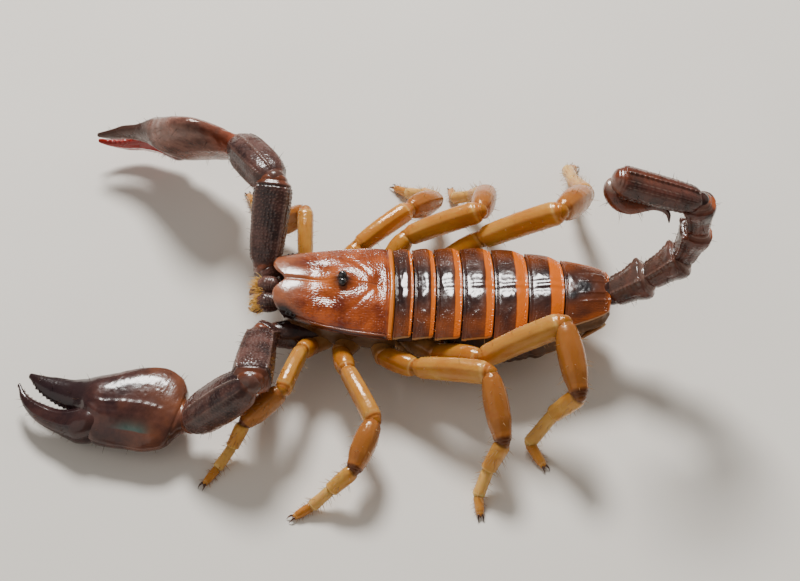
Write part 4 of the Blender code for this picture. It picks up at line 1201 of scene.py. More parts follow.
    def combs(self) -> list[Skin]:
        """Return the two comb organs on their base plate: a jointed shaft with a row of teeth each."""
        centre = (-1.0, 0.0, self.comb_z + 0.1)
        skins = [ball(centre, 1.0, (0.75, 1.05, 0.26), rows=20, columns=32, pale=0.3)]
        for side in Side:
            direction = heading(side.value * self.comb_yaw, 0.0)
            rearward = unit(np.cross(direction, (0, 0, side.value)))
            root = np.array((-1.0, side.value * 0.6, self.comb_z))
            reach = direction * self.comb_length
            shaft = limb_segment(root, root + reach, self.SHAFT, rows=70, columns=24)
            joints = sum(hump(shaft.along - k, 0.015) for k in (0.28, 0.58))
            shaft = shaft.raised(-0.07 * joints + 0.02 * noise(shaft.grid, 2.5, 101, 2))
            skins.append(shaft.masked(pale=0.5 - 0.4 * joints).skin())
            for k in range(self.comb_teeth):
                base = root + reach * (0.10 + 0.88 * k / (self.comb_teeth - 1))
                lean = rearward + direction * 0.18
                points = (base + rearward * 0.1, base + lean * 0.55, base + lean * 1.05 - UP * 0.05,
                          base + lean * 1.3 - UP * 0.1)
                tooth = curved_tube(np.array(points), (0.10, 0.13, 0.16, 0.10), direction, 10, 12)
                skins.append(tooth.masked(pale=0.85).skin())
        return skins

    def build(self, shop: Workshop) -> None:
        """Add the flanks, the belly plates, the head's underside and the combs."""
        shop.add("soft_flanks", [self.flanks().skin()], "pleura", ("abdomen",))
        for index in range(5):
            number = index + 3
            plate = self.belly_plate(index)
            shop.add(f"belly_plate_{number}", [plate], "belly", (f"sternite_{number}",))
        shop.add("head_underside", self.head_base(), "belly", ("prosoma_base",))
        shop.add("arm_coxae", self.arm_coxae(), "palp")
        shop.add("comb_organs", self.combs(), "belly", ("pectines",))


@dataclass
class Mouthparts:
    """The two short pincers in front of the shield, with their golden brush.

    Both turn with the head, by the same step.
    """

    hairs: int = 340

    TURN = np.array((0.0, 0.6, 0.4))
    BARREL = ((-11.2, 0.95, 5.4), (-11.9, 1.0, 5.5), (-12.7, 1.05, 5.5), (-13.4, 1.0, 5.3))
    FINGERS = (
        (((-13.1, 0.7, 5.4), (-13.6, 0.62, 5.3), (-14.1, 0.6, 5.0), (-14.35, 0.62, 4.6)), 0.4),
        (((-13.0, 1.4, 5.1), (-13.6, 1.5, 4.9), (-14.15, 1.25, 4.7), (-14.4, 0.85, 4.5)), 0.36),
    )

    def arm(self, side: Side) -> list[Skin]:
        """Return one pincer: a barrel with a fixed finger, a movable finger and their teeth."""
        sign = side.value
        path = np.array(self.BARREL) * (1, sign, 1) + self.TURN
        barrel = curved_tube(path, (0.5, 0.85, 0.92, 0.62), ACROSS, 56, 70)
        bumps = granules(barrel.along * 12, barrel.turn * 24, 111, wrap=24)
        barrel = barrel.raised(0.05 * bumps + 0.04 * noise(barrel.grid, 1.8, 112, 2))
        skins = [barrel.masked(pale=0.5 * bumps, band=0.4 * ramp(0.7, 1.0, barrel.along)).skin()]
        for points, radius in self.FINGERS:
            path = np.array(points) * (1, sign, 1) + self.TURN
            radii = (radius, radius * 0.85, radius * 0.5, 0.08)
            claw = curved_tube(path, radii, np.array((0.2, 1.0, 0.3)), 28, 44)
            skins.append(claw.masked(band=0.65 * ramp(0.2, 0.8, claw.along)).skin())
            for k in range(3):
                spot = path[1] + (path[2] - path[1]) * (0.2 + 0.45 * k)
                inward = (1.0 - sign * (spot[1] - self.TURN[1])) * sign * 0.5
                tip = spot + np.array((-0.05, inward, -0.28))
                tooth = curved_tube(np.array((spot, (spot + tip) / 2, tip)), (0.13, 0.1, 0.03),
                                    np.array((1.0, 0.0, 0.2)), 8, 8)
                skins.append(tooth.skin())
        return skins

    def brush(self, side: Side) -> Bristles:
        """Return the fan of golden hairs under and between one pincer's fingers."""
        rng = np.random.default_rng(7 + int(side.value))
        count = self.hairs
        root = np.stack((rng.uniform(-13.6, -12.3, count), rng.uniform(0.15, 1.7, count) * side.value,
                         rng.uniform(4.9, 6.0, count)), -1)
        aim = np.stack((rng.uniform(-1.4, -0.6, count), rng.uniform(-0.2, 0.9, count) * side.value,
                        rng.uniform(-0.5, 0.35, count)), -1)
        spots = np.stack((rng.uniform(0, 1, count), rng.uniform(0, 1, count)), -1)
        return Bristles(root + self.TURN, aim, rng.uniform(0.5, 1.35, count), spots, radius=0.032)

    def build(self, shop: Workshop) -> None:
        """Add both pincers and their brushes."""
        for side in Side:
            shop.add(f"mouth_pincer_{side.label}", self.arm(side), "palp", (f"chelicera_{side.label}",))
        shop.add_bristles("mouth_brush", [self.brush(side) for side in Side], "gold_bristle", 0.2)


# ---------------------------------------------------------------- limbs
def arm_root(side: Side) -> Array:
    """Return where a claw arm leaves the body."""
    return np.array((-12.1, 3.2 * side.value, 4.4))


def chain(start: Array, stance: tuple, lengths: tuple) -> list[Array]:
    """Return the joints of a limb, from its root out, from each segment's heading and length."""
    joints = [np.asarray(start, float)]
    for angles, length in zip(stance, lengths):
        joints.append(joints[-1] + heading(*angles) * length)
    return joints


def scaled(profile: tuple, factor: float) -> tuple:
    """Return a profile with its half sizes multiplied by a factor."""
    return tuple((share, width * factor, height * factor) for share, width, height in profile)


def ridge(tube: Tube, angle: float, width: float, height: float, beads: int = 0,
          span: tuple = (0.06, 0.94)) -> Array:
    """Return the height of one keel: a ridge along the tube, cut into rounded beads.

    Args:
        tube: the surface.
        angle, width: the ridge's place and spread round the tube, in degrees.
        height: its height.
        beads: how many beads it is cut into, or none for a plain ridge.
        span: the stretch of the tube that it takes.
    """
    share, (start, end) = tube.along, span
    window = ramp(start - 0.03, start + 0.03, share) * (1 - ramp(end - 0.03, end + 0.03, share))
    wave = 1.0
    if beads:
        wave = 0.3 + 0.7 * np.sqrt(np.clip(1 - (2 * np.mod(share * beads, 1.0) - 1) ** 2, 0, 1))
    return height * (window * wave) * hump(tube.off(angle), width)


@dataclass(frozen=True)
class LegPlan:
    """Sizes and stance of one pair of legs.

    Attributes:
        lengths: of trochanter, femur, patella, tibia, basitarsus and telotarsus.
        base: X, Y and Z of the root on the right side.
        girth: thickness against the common profile.
        stances: for each side, yaw and pitch of five segments, then the yaw of the last.
    """

    lengths: tuple[float, ...]
    base: tuple[float, float, float]
    girth: float
    stances: dict[Side, tuple]

    def root(self, side: Side) -> Array:
        """Return the leg's root on this side."""
        return np.array(self.base) * (1, side.value, 1)


LEG_PLANS = {
    1: LegPlan((2.2, 5.6, 4.8, 2.6, 2.4, 1.9), (-8.3, 4.1, 3.9), 0.9, {
        Side.LEFT: ((-120, 35), (-107, 8), (-153, -33), (-132, -50), (-126, -20), -126),
        Side.RIGHT: ((114, 10), (91, 12), (160, -52), (125, -8), (120, -10), 112)}),
    2: LegPlan((3.0, 6.6, 5.1, 2.9, 2.3, 1.8), (-5.6, 4.9, 3.9), 0.99, {
        Side.LEFT: ((-77, 17), (-67, 2), (-112, -16), (-156, -37), (-150, -31), -152),
        Side.RIGHT: ((58, 24), (40, 6), (50, -28), (124, -30), (143, -30), 136)}),
    3: LegPlan((3.8, 7.7, 6.6, 3.1, 2.6, 1.8), (-1.5, 5.4, 3.9), 1.06, {
        Side.LEFT: ((-36, 16), (-21, 19), (-79, -24), (-141, -56), (-116, -35), -84),
        Side.RIGHT: ((52, 26), (8, 20), (81, -31), (130, -48), (150, -35), 100)}),
    4: LegPlan((5.2, 8.6, 7.0, 4.6, 3.9, 2.6), (3.4, 5.2, 4.1), 1.14, {
        Side.LEFT: ((-30, 25), (8, 27), (-79, -21), (156, -60), (-152, -50), -60),
        Side.RIGHT: ((28, 20), (2, 26), (61, -29), (104, -33), (97, -28), 64)}),
}


class LegPart(IntEnum):
    """The six segments of a leg, from the body out."""

    TROCHANTER = 0
    FEMUR = 1
    PATELLA = 2
    TIBIA = 3
    BASITARSUS = 4
    TELOTARSUS = 5


@dataclass(frozen=True)
class LegSegment:
    """Make of one leg segment.

    Attributes:
        profile: share of its length, half width and half height, on a leg of plain girth.
        rows, columns: fineness of its mesh.
        squareness: of its section.
        bow: how far it arches.
        band, pale: strength of its orange and cream tints.
        knob, shade: radius and darkness of the joint skin at its inner end.
        hairs, hair_length: number and length of its bristles.
    """

    profile: tuple
    rows: int
    columns: int
    squareness: float
    bow: float
    band: float
    pale: float
    knob: float
    shade: float
    hairs: int
    hair_length: float


LEG_SEGMENTS = {
    LegPart.TROCHANTER: LegSegment(
        ((0, 0.80, 0.85), (0.2, 0.92, 0.98), (0.6, 0.98, 1.02), (0.9, 0.86, 0.9), (1, 0.7, 0.75)),
        44, 40, 0.9, 0, 0.35, 0, 0, 0, 4, 0.6),
    LegPart.FEMUR: LegSegment(
        ((0, 0.62, 0.7), (0.08, 0.8, 0.9), (0.3, 0.84, 1.02), (0.6, 0.86, 1.08), (0.88, 0.88, 1.06),
         (0.96, 0.86, 0.98), (1, 0.66, 0.76)),
        80, 52, 0.82, 0.15, 0.12, 0.10, 0.72, 0.35, 16, 0.65),
    LegPart.PATELLA: LegSegment(
        ((0, 0.55, 0.62), (0.06, 0.78, 0.88), (0.18, 0.96, 1.08), (0.42, 1.1, 1.24),
         (0.68, 1.05, 1.18), (0.88, 0.82, 0.92), (0.96, 0.76, 0.84), (1, 0.58, 0.64)),
        84, 52, 0.85, 0.1, 0.10, 0.12, 0.7, 0.25, 22, 0.75),
    LegPart.TIBIA: LegSegment(
        ((0, 0.5, 0.55), (0.08, 0.64, 0.72), (0.2, 0.72, 0.8), (0.55, 0.7, 0.78), (0.85, 0.66, 0.72),
         (0.95, 0.68, 0.74), (1, 0.5, 0.55)),
        52, 40, 0.9, 0, 0.15, 0.15, 0.56, 0.85, 34, 0.7),
    LegPart.BASITARSUS: LegSegment(
        ((0, 0.42, 0.46), (0.1, 0.52, 0.56), (0.5, 0.53, 0.58), (0.85, 0.56, 0.6),
         (0.96, 0.56, 0.6), (1, 0.42, 0.46)),
        44, 36, 0.95, 0, 0.08, 0.5, 0.44, 0.3, 34, 0.6),
    LegPart.TELOTARSUS: LegSegment(
        ((0, 0.36, 0.4), (0.12, 0.44, 0.48), (0.5, 0.42, 0.47), (0.8, 0.38, 0.44), (1, 0.28, 0.32)),
        40, 32, 1.0, 0, 0.45, 0.12, 0.36, 0.2, 30, 0.45),
}


@dataclass
class Leg:
    """One walking leg: six segments, joint skin, bristles and three claws."""

    side: Side
    number: int
    sole: float = 0.24

    PIECES = {"femur": (LegPart.TROCHANTER, LegPart.FEMUR), "patella": (LegPart.PATELLA,),
              "foot": (LegPart.TIBIA, LegPart.BASITARSUS, LegPart.TELOTARSUS)}

    @property
    def plan(self) -> LegPlan:
        """Return the pair's sizes."""
        return LEG_PLANS[self.number]

    def joints(self) -> list[Array]:
        """Return the seven joints, the last one a sole's height over the floor."""
        stance, lengths = self.plan.stances[self.side], self.plan.lengths
        joints = chain(self.plan.root(self.side), stance[:5], lengths[:5])
        drop = min((joints[-1][2] - self.sole) / lengths[5], 0.98)
        joints.append(joints[-1] + heading(stance[5], -math.degrees(math.asin(drop))) * lengths[5])
        return joints

    def segment(self, joints: list[Array], part: LegPart) -> Tube:
        """Return one segment of the leg between its joints, with its keels and granules."""
        make = LEG_SEGMENTS[part]
        tube = limb_segment(joints[part], joints[part + 1], scaled(make.profile, self.plan.girth),
                            rows=make.rows, columns=make.columns, squareness=make.squareness,
                            bow=make.bow)
        share, seed = tube.along, self.number * 10 + part
        thick, keeled = part <= LegPart.PATELLA, part in (LegPart.FEMUR, LegPart.PATELLA)
        coxal, patella = part == LegPart.TROCHANTER, part == LegPart.PATELLA
        height = 0.025 * noise(tube.grid, 1.3, seed, 3)
        if keeled:
            for angle in (48, 132, -48, -132):
                height = height + ridge(tube, angle, 9, 0.05, 0 if patella else 26)
            height = height - 0.05 * hump(share - 0.955, 0.012) - 0.04 * hump(share - 0.05, 0.012)
            height = height + 0.022 * granules(share * 30, tube.turn * 16, seed, wrap=16)
        else:
            height = height - 0.035 * hump(share - 0.93, 0.02)
        tube = tube.raised(height)
        off_top = np.abs(np.sin(tube.angle / 2 - math.pi / 4))[None]
        cloud = noise(tube.grid, 0.9, seed + 5, 3)
        tip, root = ramp(0.92, 0.985, share), 1 - ramp(0.02, 0.09, share)
        band = make.band + 0.55 * tip * thick + 0.4 * root * thick
        band = band + 0.35 * ramp(0.35, 0.8, cloud) + 0.3 * (1 - off_top) * keeled + 0.5 * patella
        dark = 0.75 * tip * patella + 0.7 * root * (part == LegPart.TIBIA)
        dark = dark + 0.35 * ramp(0.6, 0.9, cloud) * (not coxal)
        dark = dark + 0.35 * coxal * (1 - share) + 0.36 * patella
        pale = make.pale + 0.45 * hump(share - 0.94, 0.02) * (not patella)
        tube = tube.masked(band=band, dark=dark, pale=pale)
        above_floor = np.maximum(tube.grid, (-np.inf, -np.inf, 0))
        return Tube(above_floor, tube.share, tube.angle, tube.masks)

    def claws(self, joints: list[Array]) -> list[Skin]:
        """Return the two curved claws and the small middle one at the tip of the foot."""
        step = joints[-1] - joints[-2]
        ahead = unit(step * (1, 1, 0.15))
        side = unit(np.cross(ahead, UP))
        tip = joints[-1] - ahead * 0.12
        skins = []
        for spread, reach, radius in ((0.26, 0.85, 0.11), (-0.26, 0.85, 0.11), (0.0, 0.4, 0.08)):
            points = np.array((tip, tip + ahead * reach * 0.35 + side * spread * 0.7 + UP * 0.14,
                               tip + ahead * reach * 0.75 + side * spread + UP * 0.02,
                               tip + ahead * reach * 0.98 + side * spread * 0.9 - UP * 0.24))
            points[:, 2] = np.maximum(points[:, 2], 0.04)
            skins.append(curved_tube(points, (radius, radius, radius * 0.6, 0.02), side, 12, 20).skin())
        return skins

    def build(self, shop: Workshop) -> list[Bristles]:
        """Add the leg's three shell pieces and its claws.

        Returns:
            The leg's bristles.
        """
        joints = self.joints()
        tubes = {part: self.segment(joints, part) for part in LegPart}
        name = f"leg_{self.side.label}_{self.number}"
        # The far legs take the lighter leg finish with painted bounce light.
        finish = "far_leg" if self.side is Side.RIGHT and self.number > 1 else "leg"
        for piece, parts in self.PIECES.items():
            skins = [tubes[part].skin() for part in parts]
            for part in parts:
                make = LEG_SEGMENTS[part]
                if make.knob:
                    skins.append(ball(joints[part], self.plan.girth * make.knob, rows=16, columns=24,
                                      dark=make.shade, band=0.5))
            shop.add(f"{name}_{piece}_shell", skins, finish, (f"{name}_{piece}",))
        shop.add(f"{name}_claws", self.claws(joints), "claw")
        seed = self.number * 100 + int(self.side.value) * 7
        return [bristles_on(tubes[part], LEG_SEGMENTS[part].hairs, seed + part,
                            LEG_SEGMENTS[part].hair_length, slot=(part, len(LegPart)))
                for part in LegPart]


@dataclass(frozen=True)
class ArmSegment:
    """Make of one segment between the body and the hand.

    Attributes:
        name: its name in pieces and nodes.
        profile: share of its length, half width and half height.
        rows, columns: fineness of its mesh.
        beads: number in each keel.
        grains, grain: number of granules along it, and their strength.
        knob, band, pale: radius and tints of the joint skin at its outer end.
        hairs: number of its bristles.
    """

    name: str
    profile: tuple
    rows: int
    columns: int
    beads: int
    grains: int
    grain: float
    knob: float
    band: float
    pale: float
    hairs: int


ARM_SEGMENTS = (
    ArmSegment("trochanter", ((0, 0.85, 0.85), (0.25, 1.15, 1.08), (0.6, 1.3, 1.2), (1, 1.12, 1.05)),
               80, 110, 8, 9, 1.0, 1.0, 0.2, 0.1, 10),
    ArmSegment("femur", ((0, 1.1, 0.98), (0.12, 1.5, 1.25), (0.5, 1.75, 1.45), (0.85, 1.85, 1.55),
                         (0.95, 1.7, 1.45), (1, 1.3, 1.15)),
               170, 144, 26, 27, 1.0, 1.15, 0.15, 0.15, 26),
    ArmSegment("patella", ((0, 1.1, 1.0), (0.14, 1.75, 1.45), (0.4, 1.95, 1.65), (0.7, 1.9, 1.6),
                           (0.92, 1.5, 1.3), (1, 1.1, 1.0)),
               170, 144, 24, 26, 0.45, 0.98, 0.35, 0.2, 26),
)


@dataclass
class ClawArm:
    """One claw arm: trochanter, femur, patella, hand with its fixed finger, and movable finger."""

    side: Side
    lengths: tuple[float, ...] = (1.9, 8.3, 8.1, 16.2)

    TILT = {Side.LEFT: 9.0, Side.RIGHT: 65.0}
    STANCE = {Side.LEFT: ((-130, 42), (-94, 20), (-176, -42), (161, -2)),
              Side.RIGHT: ((130, 42), (82, 38), (120, -14.5), (159, -18))}
    PALM = (
        (0.0, 0.0, 0.9, 0.95), (0.03, 0.0, 1.4, 1.05), (0.07, 0.1, 2.9, 1.2),
        (0.14, 0.3, 3.96, 1.36), (0.23, 0.3, 4.4, 1.52), (0.34, 0.0, 4.3, 1.70),
        (0.44, -0.48, 4.0, 1.86), (0.50, -0.72, 3.6, 1.94), (0.54, -0.7, 3.2, 1.93),
        (0.58, -0.5, 2.7, 1.8), (0.63, -0.25, 2.05, 1.45), (0.68, -0.2, 1.65, 1.1),
        (0.74, -0.3, 1.45, 0.82), (0.85, -0.15, 1.12, 0.6), (0.93, 0.1, 0.76, 0.46),
        (1.0, 0.5, 0.3, 0.26))
    FINGER = (
        (0.47, -2.3, 1.5, 1.6), (0.54, -2.8, 1.75, 1.8), (0.59, -3.05, 1.7, 1.68),
        (0.64, -3.15, 1.5, 1.38), (0.69, -3.22, 1.27, 1.08), (0.75, -3.2, 1.08, 0.85),
        (0.85, -2.92, 0.92, 0.7), (0.94, -2.35, 0.66, 0.5), (1.0, -1.6, 0.46, 0.38),
        (1.04, -0.75, 0.24, 0.24))
    FAR_ARCH = ((0.0, 0.0), (0.25, 0.3), (0.45, 0.5), (0.65, 0.85), (0.8, 0.85), (0.93, 0.4), (1.04, 0.0))

    def joints(self) -> list[Array]:
        """Return root, femur base, elbow, wrist and finger tip."""
        return chain(arm_root(self.side), self.STANCE[self.side], self.lengths)

    def frame(self) -> tuple[Array, Array, Array]:
        """Return the hand's axis, its width direction toward the fixed finger, and its normal."""
        axis = heading(*self.STANCE[self.side][3])
        level = unit(np.cross((0, 0, 1), axis)) * self.side.value
        up = unit(np.cross(axis, level)) * self.side.value
        tilt = math.radians(self.TILT[self.side])
        width = unit(level * math.cos(tilt) + up * math.sin(tilt))
        return axis, width, np.cross(axis, width)

    def hand_tube(self, stations: tuple, rows: int, columns: int, root_dome: float = 0.03,
                  end_dome: float = 0.012) -> Tube:
        """Return a tube along the hand's axis, with a dome at each end.

        Args:
            stations: share of the axis, offset, half width and half thickness.
            rows, columns: fineness of the mesh.
            root_dome, end_dome: reach of the domes past the stations.
        """
        axis, width, normal = self.frame()
        place, offset, half_width, half_thickness = np.array(stations).T
        first, last = place[0] - root_dome, place[-1] + end_dome
        share = first + (last - first) * crowded(rows, END_MARGIN)
        rounding = rounded_ends((place[0] - share) / root_dome, (share - place[-1]) / end_dome)
        path = (self.joints()[3] + np.outer(share * self.lengths[3], axis)
                + np.outer(smooth_through(share, place, offset), width))
        if self.side is Side.RIGHT:
            arch_place, arch = np.array(self.FAR_ARCH).T
            path = path + np.outer(smooth_through(share, arch_place, arch), normal)
            half_thickness = half_thickness * 0.86
        return sweep(path, width, normal, smooth_through(share, place, half_width) * rounding,
                     smooth_through(share, place, half_thickness) * rounding, columns, 0.9, share)

    def teeth(self, tube: Tube, height: float, angle: float, width: float, end: tuple) -> Array:
        """Return the height of the row of teeth on a finger's biting edge.

        Args:
            tube: the finger.
            height: of the teeth.
            angle, width: the edge's place and spread round the finger, in degrees.
            end: the stretch in which the row fades out.
        """
        share = tube.along
        tooth = np.clip(1 - np.abs(2 * np.mod((share - 0.6) * 34, 1.0) - 1) * 1.6, 0, 1)
        row = height * tooth * hump(tube.off(angle), width)
        return row * ramp(0.62, 0.66, share) * (1 - ramp(*end, share))

    def arm_segment(self, index: int) -> Tube:
        """Return one segment between body and hand, with beaded keels and coarse granules."""
        joints, make = self.joints(), ARM_SEGMENTS[index]
        tube = limb_segment(joints[index], joints[index + 1], make.profile, rows=make.rows,
                            columns=make.columns, squareness=0.7, dome=0.7)
        share = tube.along
        keels = sum(ridge(tube, angle, 4.2, 0.14, make.beads) for angle in (45, 135, -45, -135))
        if make.name == "patella":
            keels = keels * 0.6 + ridge(tube, 90, 4.0, 0.11, 27) + ridge(tube, 0, 4.0, 0.07, 25)
        coarse = granules(share * make.grains, tube.turn * 34, 121 + index, 0.32, 34) * make.grain
        window = ramp(0.02, 0.09, share) * (1 - ramp(0.9, 0.97, share))
        rough = 0.03 * noise(tube.grid, 1.6, 125, 3)
        tube = tube.raised(keels + (0.06 * coarse + rough) * window - 0.10 * hump(share - 0.93, 0.012))
        pale = np.clip(keels * 3.0 + 0.35 * coarse * window, 0, 0.6)
        outer = ramp(0.2, 0.9, -np.sin(tube.angle))[None]
        band = 0.55 * outer + 0.5 * ramp(0.93, 0.99, share) + 0.3 * (1 - ramp(0.0, 0.05, share))
        return tube.masked(pale=pale, band=band)

    def palm(self) -> Tube:
        """Return the hand with its fixed finger: low keels, a row of beads or fine pits, and teeth."""
        tube = self.hand_tube(self.PALM, 230, 150)
        share = tube.along
        near = self.side is Side.LEFT
        up = 90.0 * self.side.value
        on_palm = ramp(0.03, 0.1, share) * (1 - ramp(0.5, 0.62, share))
        lumps = noise(tube.grid, 0.7, 135, 3)
        height = 0.035 * on_palm * lumps + 0.010 * noise(tube.grid, 3, 137, 2)
        pits = granules(share * 62, tube.turn * 60, 133, 0.4, 60)
        height = height - (0.008 if near else 0.022) * pits * on_palm
        for angle, tall in ((0.25, 0.05), (-0.95, 0.06), (1.9, 0.05)):
            height = height + ridge(tube, up * angle, 8, tall, 0, (0.08, 0.86))
        if near:
            height = height + ridge(tube, up - 5, 3.0, 0.07, 23, (0.14, 0.54))
            height = height + ridge(tube, up - 11, 2.4, 0.045, 19, (0.24, 0.50))
            height = height + ridge(tube, up - 22, 8, 0.10, 0, (0.36, 0.60))
        height = height - 0.10 * hump(share - 0.055, 0.01)
        height = height + self.teeth(tube, 0.14, 180, 14, (0.95, 0.98))
        inward = -np.cos(tube.angle)[None]
        if near:
            brown = 0.4 + 0.6 * ramp(-0.3, 0.6, np.cos(tube.angle))[None]
            band = 0.75 * brown * ramp(0.42, 0.12, share) * (0.75 + 0.6 * lumps)
            band = band + 0.12 * ramp(0.0, 0.6, lumps)
            # A painted reflection: a teal patch on the palm's lower face.
            painted_reflection_patch = hump(share - 0.30, 0.07) + 0.8 * hump(share - 0.22, 0.05)
            pale = 0.8 * painted_reflection_patch * hump((np.degrees(tube.angle) - 360 - (up - 42))[None] % 360, 11)
        else:
            band = 0.6 * (1 - ramp(0.03, 0.16, share))
            band = band + 0.75 * ramp(0.55, 0.95, inward) * (1 - ramp(0.4, 0.6, share))
            pale = 0.3 * pits * on_palm
        # Painted glow: on the far hand the palm by the movable finger is tinted red as if lit through
        # from behind.
        red = 0.0 if near else 0.9 * ramp(-0.1, 0.5, inward) * ramp(0.56, 0.66, share)
        band = band + red
        dark = 0.75 * ramp(0.5, 0.66, share) * (1 - red)
        return tube.raised(height).masked(band=band, pale=pale, dark=dark)

    def finger(self) -> Tube:
        """Return the movable finger, with its row of teeth."""
        tube = self.hand_tube(self.FINGER, 150, 72)
        height = self.teeth(tube, 0.15, 0, 16, (0.99, 1.01))
        height = height + 0.02 * noise(tube.grid, 1.8, 141, 2)
        for angle in (70, 125, -70, -125):
            height = height + ridge(tube, angle, 9, 0.06, 0, (0.6, 0.95))
        far = self.side is Side.RIGHT
        # On the far finger the band is a painted glow of light shining through it from behind.
        return tube.raised(height).masked(band=0.8 * far * ramp(0.57, 0.66, tube.along),
                                          dark=0.0 if far else 0.35)

    def build(self, shop: Workshop) -> list[Bristles]:
        """Add the arm's five shell pieces.

        Returns:
            The arm's bristles.
        """
        name = f"palp_{self.side.label}"
        joints = self.joints()
        seed = 900 + int(self.side.value)
        groups = []
        for index, make in enumerate(ARM_SEGMENTS):
            tube = self.arm_segment(index)
            knob = ball(joints[index + 1], make.knob, rows=20, columns=32, band=make.band, pale=make.pale)
            shop.add(f"{name}_{make.name}_shell", [tube.skin(), knob], "palp", (f"{name}_{make.name}",))
            groups.append(bristles_on(tube, make.hairs, seed + index, 0.7, slot=(index, 5), lean=0.3))
        palm, finger = self.palm(), self.finger()
        # The far hand and finger take the finishes with painted sheen and painted glow.
        looks = ("hand", "hand") if self.side is Side.LEFT else ("far_hand", "red_finger")
        shop.add(f"{name}_hand_shell", [palm.skin()], looks[0], (f"{name}_hand",))
        shop.add(f"{name}_finger_shell", [finger.skin()], looks[1], (f"{name}_finger",))
        groups.append(bristles_on(palm, 46, seed + 5, 0.6, (0.1, 0.97), 0.3, slot=(3, 5)))
        groups.append(bristles_on(finger, 30, seed + 6, 0.55, (0.6, 1.0), 0.3, slot=(4, 5)))
        return groups


